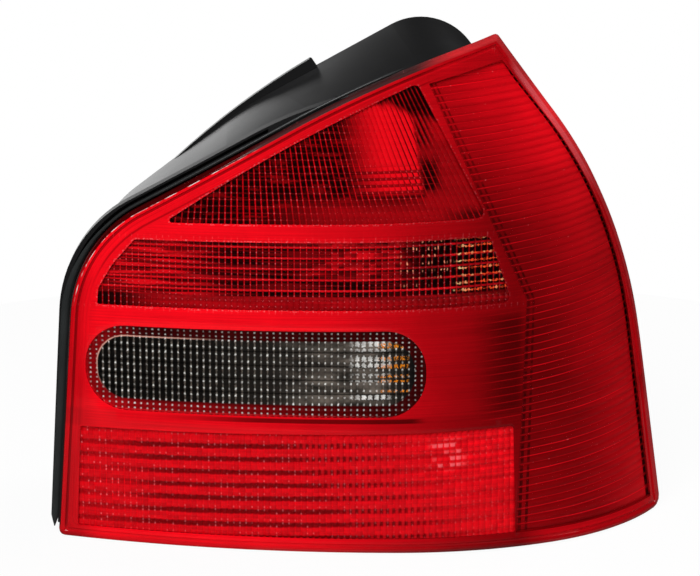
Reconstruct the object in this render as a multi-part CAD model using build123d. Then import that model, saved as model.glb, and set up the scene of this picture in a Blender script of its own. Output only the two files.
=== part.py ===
from build123d import *
import os
from math import asin, cos, degrees, hypot, radians, sin

# A right-hand tail lamp for a small hatchback. Sizes are millimetres. X points outboard, Y points into the
# car and Z points up. The origin is the centre of the three studs, on the plane of the car body.

# Lens face: three tangent arcs in plan, carried upwards along a leaning line
CROWN_X = 2.0
FACE_DEPTH = 125.0
FACE_FOOT_Z = -118.5
INBOARD_RADIUS = 575.0
MIDDLE_RADIUS = 205.0
CORNER_RADIUS = 125.0
INBOARD_TURN = 20.0
MIDDLE_TURN = 22.0
CORNER_TURN = 60.0
LEAN_X = -0.2
LEAN_Y = 0.1
FACE_MARGIN = 20.0
FACE_HEIGHT = 300.0

# Lens outline, seen from the front as (x, z)
LENS_FOOT_LEFT = (-170.2, FACE_FOOT_Z)
LENS_SHOULDER = (-160.1, 35.5)
LENS_BEND = (-50.0, 96.4)
LENS_TIP = (51.5, 134.6)
LENS_KNEE = (124.4, 34.1)
LENS_FOOT_RIGHT = (143.2, FACE_FOOT_Z)
LENS_CORNERS = [LENS_FOOT_LEFT, LENS_SHOULDER, LENS_BEND, LENS_TIP, LENS_KNEE, LENS_FOOT_RIGHT]
SHOULDER_RADIUS = 70.0
BEND_RADIUS = 400.0
KNEE_RADIUS = 280.0
LENS_CORNER_RADIUS = 4.0
LENS_TIP_RADIUS = 4.0
LENS_EDGE_RADIUS = 2.0

# Lens moulding
LENS_WALL = 3.0
SKIRT_DEPTH = 9.0
LENS_END_GAP = 20.0
CHAMBER_WALL = 2.0
CHAMBER_DEPTH = 9.0
WINDOW_CORNER = 3.0
FLUTE_PITCH = 3.1
FLUTE_RISE = 1.2
FLUTE_SKIN = 0.2
SIDE_RIB_PITCH = 8.0
SIDE_RIB_HEIGHT = 3.5
SIDE_RIB_RISE = 1.0

# Chamber windows, seen from the front as (x, z)
UPPER_LEFT = (-112.0, 47.8)
UPPER_CROWN = (-46.4, 86.9)
UPPER_TOP = (8.9, 113.3)
UPPER_RIGHT = (46.3, 47.8)
BAND_TOP_LEFT = (-128.0, 38.5)
BAND_TOP_RIGHT = (47.5, 38.5)
BAND_FOOT_RIGHT = (59.5, 5.5)
BAND_FOOT_LEFT = (-148.4, 5.5)
BAND_LEFT_BULGE = (-140.0, 24.8)
PILL_CENTRE = (-69.5, -27.3)
PILL_LENGTH = 171.0
PILL_HEIGHT = 43.4
PILL_END_RADIUS = 20.5
PILL_BEZEL = 6.0
PILL_GAP = 0.05
LOWER_RIM = 8.5
LOWER_TOP_LEFT = (-157.0, -57.0)
LOWER_TOP_RIGHT = (60.5, -57.0)
LOWER_FOOT_RIGHT = (61.9, FACE_FOOT_Z + LOWER_RIM)
LOWER_FOOT_LEFT = (-159.4, FACE_FOOT_Z + LOWER_RIM)
SIDE_RIM = 7.5
SIDE_TOP_LEFT = (16.8, 114.9)
SIDE_WAIST_HIGH = (66.9, 4.8)
SIDE_WAIST_LOW = (66.0, -14.8)
SIDE_FOOT_LEFT = (61.9, FACE_FOOT_Z + SIDE_RIM)
SIDE_FOOT_RIGHT = (136.5, FACE_FOOT_Z + SIDE_RIM)
SIDE_KNEE = (116.9, 42.5)
SIDE_KNEE_RADIUS = 250.0
SIDE_TOP_RIGHT = (53.5, 123.6)

# Housing
HOUSING_WALL = 2.5
BOSS_HEIGHT = 6.0
FLANGE_THICKNESS = 4.0
FLANGE_INSET = 1.5
LIP_START = 4.0
LIP_GAP = 0.6
LIP_INBOARD = 6.0
LIP_TOP = 5.0
LIP_RISE = 5.5
LIP_END_X = 12.0
LIP_BEND_RADIUS = 200.0
LIP_RIDGE = 2.4
LIP_GROOVE = 1.6
LIP_GROOVE_DEPTH = 5.0
LIP_GROOVE_END_X = -62.0

# Housing bowl: how far its front and rear corners lie from the lens corners, from the inboard foot upwards
BOWL_FRONT_STEPS = [(3.2, 2.5), (1.6, 1.5), (-2.4, -0.6), (-3.5, -20.6), (-12.4, -12.1), (-11.2, 2.5)]
BOWL_REAR_STEPS = [(4.2, 3.5), (-0.4, -10.2), (-25.0, -6.4), (-27.7, 9.8), (-14.4, -4.1), (-18.2, 3.5)]
BOWL_RADII = [12.0, 65.0, 200.0, 32.0, 150.0, 12.0]
HOOK_START_X = -115.0
HOOK_END_X = -42.5
HOOK_RISE = 5.2
HOOK_ROOT = 2.0
HOOK_HEEL = 4.0
HOOK_CORNER = 1.2
HOOK_DEPTH = 5.0
POST_RADIUS = 4.0

# Studs
STUD_CIRCLE_RADIUS = 88.0
STUD_COUNT = 3
STUD_RADIUS = 3.0
STUD_LENGTH = 20.0
STUD_HEAD_WIDTH = 10.0
STUD_HEAD_HEIGHT = 5.0
STUD_CLEARANCE = 0.05
STUD_POINT = 0.8
BOSS_RADIUS = 8.0

# Body seal
BODY_SEAL_INSET = 3.0
BODY_SEAL_WIDTH = 8.0
BODY_SEAL_THICKNESS = 5.5

# Bulb carrier
CARRIER_CENTRE = (16.0, -5.0)
CARRIER_WIDTH = 92.0
CARRIER_HEIGHT = 186.0
CARRIER_CORNER = 25.0
CARRIER_PLATE = 3.0
CARRIER_OVERLAP = 5.0
CARRIER_SEAL = 1.5
SPIGOT_GAP = 0.4
SPIGOT_WALL = 2.0
SOCKET_WALL = 2.3
SOCKET_DEPTH = 24.0
SOCKET_FLOOR = 4.0
LATCH_WIDTH = 14.0
LATCH_LENGTH = 9.0
LATCH_THICKNESS = 3.0

# Bulbs
BULBS = {"upper": (8.0, 66.0), "band": (36.0, 22.0), "window": (-5.0, PILL_CENTRE[1]), "lower": (36.0, -75.0)}
CAP_RADIUS = 7.5
CAP_LENGTH = 17.0
CAP_CLEARANCE = 0.2
CAP_RECESS = 4.0
CAP_SKIRT = 0.8
NECK_RADIUS = 6.5
GLASS_RADIUS = 12.5
GLASS_LENGTH = 33.0
GLASS_WALL = 1.0
GLASS_WAIST = 17.0
GLASS_CROWN_RADIUS = 9.0
GLASS_CROWN_DROP = 4.0
FILAMENT_WIRE = 0.8
FILAMENT_SPAN = 6.0
FILAMENT_HEIGHT = 20.0
CONTACT_WIDTH = 7.0
CONTACT_THICKNESS = 1.5
RIVET_RADIUS = 1.5

# Reflector trays
TRAY_WALL = 1.5
TRAY_FLOOR_GAP = 40.0
TRAY_BULB_GAP = 1.5
TRAY_STEP_RISE = 3.5
TRAY_STEPS = {"upper": 6.5, "band": 6.6, "window": 7.0, "lower": 6.4}
TRAY_POSTS = [(-52.0, 58.0), (-90.0, 22.0), (-90.0, PILL_CENTRE[1]), (-90.0, -84.0)]

# Plug and contact strips
PLUG_CENTRE = (30.0, PILL_CENTRE[1])
PLUG_END = 6.5
PLUG_HEIGHT = 16.0
PLUG_WALL = 1.5
PLUG_DEPTH = 15.5
BLADE_COUNT = 5
BLADE_PITCH = 7.0
BLADE_WIDTH = 2.8
BLADE_THICKNESS = 0.8
BLADE_LENGTH = 11.0
STRIP_WIDTH = 4.0
STRIP_THICKNESS = 0.8
UPPER_STRIP_TURN_Z = -10.0
EARTH_TRACK_X = 54.0
EARTH_TRACK_TOP = 66.0
EARTH_TRACK_FOOT = -75.0

# Cutting blocks reach this far past the lamp
FAR = 400.0
CUT_MARGIN = 30.0

# A face looks forward where the Y of its normal is under this
FRONT_FACING = -0.1

# Places along Y
FRONT_Y = -FACE_DEPTH - CUT_MARGIN
BACK_Y = STUD_LENGTH + CUT_MARGIN
REAR_Y = -BOSS_HEIGHT
LENS_END_Y = -LENS_END_GAP
SEAL_Y = REAR_Y + CARRIER_SEAL
PLATE_Y = SEAL_Y + CARRIER_PLATE
SOCKET_FLOOR_Y = SEAL_Y - SOCKET_FLOOR
CAP_FOOT_Y = SOCKET_FLOOR_Y - CONTACT_THICKNESS
CAP_TOP_Y = CAP_FOOT_Y - CAP_LENGTH
GLASS_FOOT_Y = CAP_TOP_Y + CAP_RECESS
TRAY_FLOOR_Y = -TRAY_FLOOR_GAP


def arc_centre(turn):
    """Centre and radius of the face arc that a turn angle in degrees lies on."""
    if turn <= 0:
        return CROWN_X, -FACE_DEPTH + INBOARD_RADIUS, INBOARD_RADIUS
    if turn <= MIDDLE_TURN:
        return CROWN_X, -FACE_DEPTH + MIDDLE_RADIUS, MIDDLE_RADIUS
    step = MIDDLE_RADIUS - CORNER_RADIUS
    angle = radians(MIDDLE_TURN)
    return CROWN_X + step * sin(angle), -FACE_DEPTH + MIDDLE_RADIUS - step * cos(angle), CORNER_RADIUS


def arc_point(x, y, radius, turn):
    """Plan point at a turn angle in degrees on the arc round a centre."""
    angle = radians(turn)
    return x + radius * sin(angle), y - radius * cos(angle)


def face_point(turn, inset):
    """Plan point of the face, moved in by inset, where the face has turned by an angle in degrees."""
    x, y, radius = arc_centre(turn)
    return arc_point(x, y, radius - inset, turn)


def turn_at(x):
    """Turn angle in degrees of the face where its plan curve reaches x."""
    middle_end = face_point(MIDDLE_TURN, 0)[0]
    turn = -1 if x < CROWN_X else (1 if x < middle_end else MIDDLE_TURN + 1)
    centre_x, _, radius = arc_centre(turn)
    return degrees(asin((x - centre_x) / radius))


def face_line(inset):
    """The three tangent arcs of the face in plan, moved in by inset."""
    ends = [-INBOARD_TURN, 0, MIDDLE_TURN, MIDDLE_TURN + CORNER_TURN]
    arcs = []
    for start, end in zip(ends, ends[1:]):
        middle = (start + end) / 2
        x, y, radius = arc_centre(middle)
        arcs.append(ThreePointArc(*[arc_point(x, y, radius - inset, turn) for turn in (start, middle, end)]))
    return arcs


def leaning(plan):
    """Carry a plan face drawn at the lens foot along the lean, past both ends of the lens."""
    drop = Vector(LEAN_X, LEAN_Y, 1) * -FACE_MARGIN + Vector(0, 0, FACE_FOOT_Z)
    rise = Vector(LEAN_X, LEAN_Y, 1) * (FACE_HEIGHT + 2 * FACE_MARGIN)
    return Solid.extrude(Pos(drop.X, drop.Y, drop.Z) * plan, rise)


def zone(front, back):
    """The layer between two depths behind the lens face."""
    near = face_line(front)
    far = face_line(back)
    ends = [Line(near[0] @ 0, far[0] @ 0), Line(near[-1] @ 1, far[-1] @ 1)]
    return leaning(make_face(near + far + ends).face())


def beyond(depth, plane_y):
    """Everything behind a depth in the lens, or behind an upright plane."""
    near = face_line(depth)
    left = near[0] @ 0
    right = near[-1] @ 1
    sides = Polyline(left, (left.X, FAR), (right.X + FAR, FAR), (right.X + FAR, right.Y), right)
    deep = leaning(make_face(near + [sides]).face())
    return deep + Pos(0, plane_y + FAR / 2, 0) * Box(4 * FAR, FAR, 4 * FAR)


def upright(face, start_y=FRONT_Y, end_y=BACK_Y):
    """Stand a front-view face up and carry it along Y."""
    return Solid.extrude(Pos(0, start_y, 0) * (Plane.XZ * face), (0, end_y - start_y, 0))


def grown(face, amount):
    """A front-view face made larger, or smaller for a negative amount."""
    return offset(face, amount).face()


def post(centre, radius, start_y, end_y):
    """Round post along Y at a front-view point."""
    return upright(Pos(*centre) * Circle(radius).face(), start_y, end_y)


def shifted(start, end, amount):
    """A line through two points, moved to its left by amount."""
    run = hypot(end[0] - start[0], end[1] - start[1])
    side = (-(end[1] - start[1]) / run * amount, (end[0] - start[0]) / run * amount)
    return (start[0] + side[0], start[1] + side[1]), (end[0] + side[0], end[1] + side[1])


def crossing(one, two):
    """Point where two lines, each given by two points, cross."""
    (ax, ay), (bx, by) = one
    (cx, cy), (dx, dy) = two
    turn = (bx - ax) * (dy - cy) - (by - ay) * (dx - cx)
    share = ((cx - ax) * (dy - cy) - (cy - ay) * (dx - cx)) / turn
    return ax + share * (bx - ax), ay + share * (by - ay)


def level_x(x):
    """The upright line at x, as two points."""
    return (x, 0), (x, 1)


def rounded(corners, radii, amount=0.0):
    """Face with rounded corners, given clockwise, whose sides are all moved out by amount."""
    sides = [shifted(start, end, amount) for start, end in zip(corners, corners[1:] + corners[:1])]
    points = [crossing(sides[count - 1], sides[count]) for count in range(len(corners))]
    edge = FilletPolyline(*points, radius=[max(radius + amount, 0) for radius in radii], close=True)
    return make_face(edge.edges()).face()


def lens_outline(amount=0.0):
    """Outline of the whole lens from the front, moved out by amount."""
    ends = [LENS_TIP_RADIUS, KNEE_RADIUS, LENS_CORNER_RADIUS]
    return rounded(LENS_CORNERS, [LENS_CORNER_RADIUS, SHOULDER_RADIUS, BEND_RADIUS, *ends], amount)


def lip_outline():
    """Outline of the housing lip, which stands outside the lens along its inboard and slanted edges."""
    inboard = shifted(LENS_FOOT_LEFT, LENS_SHOULDER, LIP_INBOARD)
    slant = shifted(LENS_SHOULDER, LENS_BEND, LIP_TOP)
    corner = crossing(inboard, slant)
    foot_z = FACE_FOOT_Z + LIP_RISE
    foot = crossing(inboard, ((0, foot_z), (1, foot_z)))
    end = crossing((LENS_BEND, LENS_TIP), level_x(LIP_END_X))
    edge = FilletPolyline(
        (LIP_END_X, foot_z), foot, corner, slant[1], end,
        radius=[0, LENS_CORNER_RADIUS, SHOULDER_RADIUS, LIP_BEND_RADIUS, 0], close=True)
    return make_face(edge.edges()).face()


def upper_window():
    """Three-sided window with a curved slanted edge."""
    slant = ThreePointArc(UPPER_LEFT, UPPER_CROWN, UPPER_TOP)
    sides = Polyline(UPPER_TOP, UPPER_RIGHT, UPPER_LEFT)
    face = make_face([slant] + sides.edges())
    return fillet(face.vertices(), WINDOW_CORNER).face()


def band_window():
    """Long window under it, rounded at its inboard end."""
    inboard = ThreePointArc(BAND_FOOT_LEFT, BAND_LEFT_BULGE, BAND_TOP_LEFT)
    sides = Polyline(BAND_TOP_LEFT, BAND_TOP_RIGHT, BAND_FOOT_RIGHT, BAND_FOOT_LEFT)
    face = make_face([inboard] + sides.edges())
    return fillet(face.vertices(), WINDOW_CORNER).face()


def lower_window():
    """Four-sided window along the foot."""
    edge = FilletPolyline(
        LOWER_TOP_LEFT, LOWER_TOP_RIGHT, LOWER_FOOT_RIGHT, LOWER_FOOT_LEFT, radius=WINDOW_CORNER, close=True)
    return make_face(edge.edges()).face()


def pill(inset):
    """The clear window's outline, moved in by inset."""
    shape = RectangleRounded(PILL_LENGTH - 2 * inset, PILL_HEIGHT - 2 * inset, PILL_END_RADIUS - inset)
    return (Pos(*PILL_CENTRE) * shape).face()


def side_panel():
    """The ribbed zone that wraps round the corner."""
    outboard = [SIDE_TOP_RIGHT, SIDE_KNEE, SIDE_FOOT_RIGHT]
    inboard = [SIDE_FOOT_LEFT, SIDE_WAIST_LOW, SIDE_WAIST_HIGH, SIDE_TOP_LEFT]
    return rounded(outboard + inboard, [0, SIDE_KNEE_RADIUS, 0, 0, 0, 0, 0])


WINDOWS = {
    "upper": upper_window(), "band": band_window(), "window": pill(PILL_BEZEL), "lower": lower_window()}


def flutes(window):
    """Upright prism flutes on the inside of the lens wall, as wide as a window."""
    box = window.bounding_box()
    start = turn_at(box.min.X - LEAN_X * (box.min.Y - FACE_FOOT_Z) - FLUTE_PITCH)
    end = turn_at(box.max.X - LEAN_X * (box.max.Y - FACE_FOOT_Z) + FLUTE_PITCH)
    turns = [start]
    while turns[-1] < end:
        turns.append(turns[-1] + degrees(FLUTE_PITCH / 2 / arc_centre(turns[-1])[2]))
    root = LENS_WALL + FLUTE_SKIN
    crests = [face_point(turn, root + FLUTE_RISE * (count % 2)) for count, turn in enumerate(turns)]
    buried = [face_point(turn, LENS_WALL - FLUTE_RISE) for turn in reversed(turns)]
    return leaning(make_face(Polyline(*crests, *buried, close=True)).face()) & upright(window)


def chamber_wall(window):
    """Standing wall round a window, on which its reflector tray seats."""
    ring = upright(grown(window, CHAMBER_WALL)) - upright(window)
    return ring & zone(LENS_WALL - FLUTE_RISE, CHAMBER_DEPTH)


def side_ribs():
    """Level ribs on the inside of the wrap-round side."""
    panel = side_panel()
    box = panel.bounding_box()
    layers = []
    level = box.min.Y + SIDE_RIB_PITCH
    while level < box.max.Y:
        layers.append(Pos(0, 0, level) * Box(FAR, FAR, SIDE_RIB_HEIGHT))
        level += SIDE_RIB_PITCH
    band = upright(panel) & zone(LENS_WALL - FLUTE_RISE, LENS_WALL + SIDE_RIB_RISE)
    return [band & layer for layer in layers]


def lens_end():
    """The space behind the plane where the lens stops."""
    return Pos(0, LENS_END_Y + FAR / 2, 0) * Box(4 * FAR, FAR, 4 * FAR)


def lens_blank():
    """The lens before it is hollowed, with its front edge rounded."""
    block = (upright(lens_outline()) & zone(0, SKIRT_DEPTH)) - lens_end()
    swept = block.faces().filter_by(GeomType.EXTRUSION)
    front = swept.filter_by(lambda face: face.normal_at().Y < FRONT_FACING)
    shared = front[0].edges() + front[1].edges() + front[2].edges()
    rim = shared.filter_by(lambda edge: sum(edge.is_same(other) for other in shared) == 1)
    return fillet(rim, LENS_EDGE_RADIUS)


def red_lens():
    """Red moulding with its skirt, chamber walls, flutes and side ribs, open at the clear window."""
    shell = lens_blank() - (upright(lens_outline(-LENS_WALL)) & zone(LENS_WALL, 2 * SKIRT_DEPTH))
    for name in ("upper", "band", "lower"):
        shell += chamber_wall(WINDOWS[name])
        shell += flutes(WINDOWS[name])
    shell += side_ribs()
    return shell - upright(pill(0))


def window_lens():
    """Clear pill window with its own chamber wall and flutes."""
    pane = upright(pill(PILL_GAP)) & zone(0, LENS_WALL)
    return pane + chamber_wall(WINDOWS["window"]) + flutes(WINDOWS["window"])


def bowl_corners(steps):
    """Corners of the bowl, stepped from the corners of the lens."""
    return [(corner[0] + step[0], corner[1] + step[1]) for corner, step in zip(LENS_CORNERS, steps)]


def bowl(inset, rear_y):
    """The housing's tapered body, moved in by inset, back to an upright plane."""
    sections = []
    for steps, y in ((BOWL_FRONT_STEPS, FRONT_Y), (BOWL_REAR_STEPS, rear_y)):
        face = Plane.XZ * rounded(bowl_corners(steps), BOWL_RADII, -inset)
        sections.append((Pos(0, y, 0) * face).face().outer_wire())
    return Solid.make_loft(sections, ruled=True)


def hook():
    """Thin rib along the slanted rear edge, highest outboard, that finds its place in the car body."""
    shoulder, bend, tip = bowl_corners(BOWL_REAR_STEPS)[1:4]
    start = crossing((shoulder, bend), level_x(HOOK_START_X))
    end = crossing(shifted(bend, tip, HOOK_RISE), level_x(HOOK_END_X))
    root = shifted(bend, tip, -HOOK_ROOT)
    heel = crossing(root, level_x(HOOK_END_X + HOOK_HEEL))
    crest = ThreePointArc(start, (bend[0], bend[1] + HOOK_RISE / 2), end)
    face = make_face([crest] + Polyline(end, heel, root[0], start).edges())
    crown = face.vertices().sort_by(Axis.Y)[-1]
    return upright(fillet(crown, HOOK_CORNER).face(), REAR_Y - HOOK_DEPTH, REAR_Y)


def stud_centres():
    """Front-view points of the studs, evenly round their circle."""
    turns = [radians(360 / STUD_COUNT * count) for count in range(STUD_COUNT)]
    return [(STUD_CIRCLE_RADIUS * cos(turn), STUD_CIRCLE_RADIUS * sin(turn)) for turn in turns]


def carrier_outline(inset):
    """The carrier's rounded outline, moved in by inset."""
    shape = RectangleRounded(CARRIER_WIDTH - 2 * inset, CARRIER_HEIGHT - 2 * inset, CARRIER_CORNER - inset)
    return (Pos(*CARRIER_CENTRE) * shape).face()


def housing():
    """Black bowl with the lens seat, the lip, the stud bosses and the carrier opening."""
    seat = beyond(SKIRT_DEPTH, LENS_END_Y)
    under_seat = beyond(SKIRT_DEPTH + FLANGE_THICKNESS, LENS_END_Y + FLANGE_THICKNESS)
    body = bowl(0, REAR_Y) & seat
    body += (upright(lens_outline(-FLANGE_INSET)) & seat) - under_seat
    lip = upright(lip_outline()) & zone(LIP_START, SKIRT_DEPTH + FLANGE_THICKNESS)
    body += (lip - upright(lens_outline(LIP_GAP))) - lens_end()
    body += ((upright(lip_outline()) & seat) - under_seat) - lens_end()
    groove = upright(lens_outline(LIP_RIDGE + LIP_GROOVE)) - upright(lens_outline(LIP_RIDGE))
    groove -= Pos(LIP_GROOVE_END_X + FAR / 2, 0, 0) * Box(FAR, 4 * FAR, 4 * FAR)
    body -= groove & zone(0, LIP_START + LIP_GROOVE_DEPTH)
    body += hook()
    body -= bowl(HOUSING_WALL, REAR_Y - HOUSING_WALL)
    for centre in stud_centres():
        body += post(centre, BOSS_RADIUS, -STUD_HEAD_HEIGHT - HOUSING_WALL, 0)
    for centre in TRAY_POSTS:
        body += post(centre, POST_RADIUS, TRAY_FLOOR_Y, REAR_Y)
    for centre in stud_centres():
        body -= stud(centre, STUD_CLEARANCE)
    return body - upright(carrier_outline(CARRIER_OVERLAP), REAR_Y - 2 * HOUSING_WALL)


def stud(centre, clearance=0.0):
    """One stud with the six-sided head that its boss keeps from turning."""
    hexagon = Pos(*centre) * RegularPolygon(STUD_HEAD_WIDTH / 2 + clearance, 6, major_radius=False)
    head = upright(hexagon.face(), -STUD_HEAD_HEIGHT - clearance, 0)
    shank = post(centre, STUD_RADIUS, 0, STUD_LENGTH - STUD_POINT)
    point = Cone(STUD_RADIUS, STUD_RADIUS - STUD_POINT, STUD_POINT)
    return head + shank + Pos(centre[0], STUD_LENGTH - STUD_POINT / 2, centre[1]) * Rot(-90, 0, 0) * point


def body_seal():
    """Foam strip round the rear face."""
    corners = bowl_corners(BOWL_REAR_STEPS)
    outer = rounded(corners, BOWL_RADII, -BODY_SEAL_INSET)
    inner = rounded(corners, BOWL_RADII, -BODY_SEAL_INSET - BODY_SEAL_WIDTH)
    end_y = REAR_Y + BODY_SEAL_THICKNESS
    return upright(outer, REAR_Y, end_y) - upright(inner, REAR_Y, end_y)


def tray(name):
    """Reflector tray with a stepped floor and a hole for its bulb."""
    window = WINDOWS[name]
    floor = TRAY_FLOOR_Y - TRAY_WALL
    shell = upright(grown(window, TRAY_WALL), FRONT_Y, TRAY_FLOOR_Y) & beyond(CHAMBER_DEPTH, BACK_Y)
    shell -= upright(window, FRONT_Y, floor)
    box = window.bounding_box()
    pitch = TRAY_STEPS[name]
    teeth = [(floor + TRAY_WALL / 2, box.min.Y)]
    level = box.min.Y
    while level < box.max.Y:
        teeth += [(floor - TRAY_STEP_RISE, level), (floor, min(level + pitch, box.max.Y))]
        level += pitch
    teeth.append((floor + TRAY_WALL / 2, box.max.Y))
    profile = Pos(box.min.X, 0, 0) * (Plane.YZ * make_face(Polyline(*teeth, close=True)).face())
    shell += Solid.extrude(profile, (box.max.X - box.min.X, 0, 0)) & upright(window)
    return shell - post(BULBS[name], GLASS_RADIUS + TRAY_BULB_GAP, FRONT_Y, BACK_Y)


def carrier_seal():
    """Flat seal under the carrier's edge."""
    ring = upright(carrier_outline(0), REAR_Y, SEAL_Y)
    return ring - upright(carrier_outline(CARRIER_OVERLAP), REAR_Y, SEAL_Y)


def blade_x(place):
    """Blade positions along the plug, counted from the inboard end."""
    return PLUG_CENTRE[0] + (place - (BLADE_COUNT - 1) / 2) * BLADE_PITCH


def plug_outline(inset, corner):
    """The plug shroud's outline, moved in by inset."""
    length = (BLADE_COUNT - 1) * BLADE_PITCH + 2 * PLUG_END
    return (Pos(*PLUG_CENTRE) * RectangleRounded(length - 2 * inset, PLUG_HEIGHT - 2 * inset, corner)).face()


def bulb_carrier():
    """Plate with a spigot, four bulb sockets, the plug shroud and two latches."""
    plate = upright(carrier_outline(0), SEAL_Y, PLATE_Y)
    spigot_edge = CARRIER_OVERLAP + SPIGOT_GAP
    spigot = upright(carrier_outline(spigot_edge), REAR_Y - HOUSING_WALL, SEAL_Y)
    plate += spigot - upright(carrier_outline(spigot_edge + SPIGOT_WALL), REAR_Y - HOUSING_WALL, SEAL_Y)
    bore = CAP_RADIUS + CAP_CLEARANCE
    for centre in BULBS.values():
        plate += post(centre, bore + SOCKET_WALL, SEAL_Y - SOCKET_DEPTH, SEAL_Y)
    for centre in BULBS.values():
        plate -= post(centre, bore, SEAL_Y - SOCKET_DEPTH, SOCKET_FLOOR_Y)
        plate -= post(centre, RIVET_RADIUS, SOCKET_FLOOR_Y, PLATE_Y)
    shroud = upright(plug_outline(0, 2 * PLUG_WALL), PLATE_Y, PLATE_Y + PLUG_DEPTH)
    plate += shroud - upright(plug_outline(PLUG_WALL, PLUG_WALL), PLATE_Y, PLATE_Y + PLUG_DEPTH)
    tab = Rectangle(LATCH_WIDTH, 2 * LATCH_THICKNESS)
    for side in (-1, 1):
        tab_z = CARRIER_CENTRE[1] + side * (CARRIER_HEIGHT / 2 - LATCH_THICKNESS)
        plate += upright((Pos(CARRIER_CENTRE[0], tab_z) * tab).face(), PLATE_Y, PLATE_Y + LATCH_LENGTH)
    for strip in (*feed_strips(), earth_strip()):
        plate -= strip
    return plate


def strip_path(*points):
    """Flat brass strip on the back of the carrier, along level and upright runs."""
    runs = []
    for start, end in zip(points, points[1:]):
        middle = ((start[0] + end[0]) / 2, (start[1] + end[1]) / 2)
        size = (abs(end[0] - start[0]) + STRIP_WIDTH, abs(end[1] - start[1]) + STRIP_WIDTH)
        runs.append((Pos(*middle) * Rectangle(*size)).face())
    shape = runs[0]
    for run in runs[1:]:
        shape = shape + run
    return upright(shape.face(), PLATE_Y, PLATE_Y + STRIP_THICKNESS)


def feed_strips():
    """One strip from each socket's rivet to its blade."""
    row = PLUG_CENTRE[1]
    turn = UPPER_STRIP_TURN_Z
    upper, band, window, lower = (BULBS[name] for name in ("upper", "band", "window", "lower"))
    return [
        strip_path(window, (window[0], row), (blade_x(0), row)),
        strip_path(upper, (upper[0], turn), (blade_x(1), turn), (blade_x(1), row)),
        strip_path(lower, (blade_x(2), lower[1]), (blade_x(2), row)),
        strip_path(band, (blade_x(3), band[1]), (blade_x(3), row))]


def earth_strip():
    """Long common strip beside the sockets."""
    row = PLUG_CENTRE[1]
    track = strip_path((EARTH_TRACK_X, EARTH_TRACK_TOP), (EARTH_TRACK_X, EARTH_TRACK_FOOT))
    return track + strip_path((EARTH_TRACK_X, row), (blade_x(4), row))


def plug_blades():
    """Flat blades standing on the ends of the strips."""
    start = PLATE_Y + STRIP_THICKNESS
    shape = Rectangle(BLADE_WIDTH, BLADE_THICKNESS)
    return [upright((Pos(blade_x(place), PLUG_CENTRE[1]) * shape).face(), start, start + BLADE_LENGTH)
            for place in range(BLADE_COUNT)]


def socket_contact(centre):
    """Square contact pad on a socket's floor with its rivet."""
    pad = upright((Pos(*centre) * Rectangle(CONTACT_WIDTH, CONTACT_WIDTH)).face(), CAP_FOOT_Y, SOCKET_FLOOR_Y)
    return pad + post(centre, RIVET_RADIUS, SOCKET_FLOOR_Y, PLATE_Y)


def bulb_cap(centre):
    """Metal bulb cap, recessed for the glass."""
    cap = post(centre, CAP_RADIUS, CAP_TOP_Y, CAP_FOOT_Y)
    return cap - post(centre, CAP_RADIUS - CAP_SKIRT, CAP_TOP_Y, GLASS_FOOT_Y)


def turned(centre, profile):
    """Turn a profile of (radius, distance from the glass foot) round an axis that points forward."""
    face = make_face(Polyline(*profile, close=True)).face()
    solid = Solid.revolve(face, 360, Axis((0, 0, 0), (0, 1, 0)))
    return Pos(centre[0], GLASS_FOOT_Y, centre[1]) * Rot(0, 0, 180) * solid


def bulb_glass(centre):
    """Thin glass envelope, open at the neck where the cap closes it."""
    def envelope(inset):
        crown = (GLASS_CROWN_RADIUS - inset, GLASS_LENGTH - GLASS_CROWN_DROP - inset)
        return [(NECK_RADIUS - inset, CAP_RECESS), (GLASS_RADIUS - inset, GLASS_WAIST), crown]
    outer = [(NECK_RADIUS, 0), *envelope(0), (0, GLASS_LENGTH)]
    inner = [(0, GLASS_LENGTH - GLASS_WALL), *reversed(envelope(GLASS_WALL)), (NECK_RADIUS - GLASS_WALL, 0)]
    return turned(centre, outer + inner)


def filament(centre):
    """Filament wire on its two legs, bent from square stock."""
    high = GLASS_FOOT_Y - FILAMENT_HEIGHT
    hoop = Rectangle(FILAMENT_SPAN, FILAMENT_WIRE).face()
    wire = upright((Pos(*centre) * hoop).face(), high, GLASS_FOOT_Y)
    gap = Rectangle(FILAMENT_SPAN - 2 * FILAMENT_WIRE, 2 * FILAMENT_WIRE).face()
    return wire - upright((Pos(*centre) * gap).face(), high + FILAMENT_WIRE, GLASS_FOOT_Y)


def write(name, shape):
    """Save one named piece."""
    export_step(shape, f"parts/{name}.step")


def main():
    os.makedirs("parts", exist_ok=True)
    write("red_lens", red_lens())
    write("window_lens", window_lens())
    write("housing", housing())
    write("body_seal", body_seal())
    write("carrier_seal", carrier_seal())
    write("bulb_carrier", bulb_carrier())
    write("mounting_studs", Compound([stud(centre) for centre in stud_centres()]))
    write("plug_blades", Compound(plug_blades()))
    write("feed_strips", Compound(feed_strips()))
    write("earth_strip", earth_strip())
    write("socket_contacts", Compound([socket_contact(centre) for centre in BULBS.values()]))
    write("clear_bulb_glass", Compound([bulb_glass(BULBS[name]) for name in ("upper", "band", "lower")]))
    write("amber_bulb_glass", bulb_glass(BULBS["window"]))
    for name, centre in BULBS.items():
        write(f"{name}_reflector", tray(name))
        write(f"{name}_bulb_cap", bulb_cap(centre))
        write(f"{name}_filament", filament(centre))


main()
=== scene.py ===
"""Looks of a right-hand tail lamp: a red fluted lens, a clear pill window and a black housing."""

import math
from functools import reduce

import bmesh
import bpy
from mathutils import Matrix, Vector
from mathutils.geometry import delaunay_2d_cdt
from mathutils.kdtree import KDTree


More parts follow.
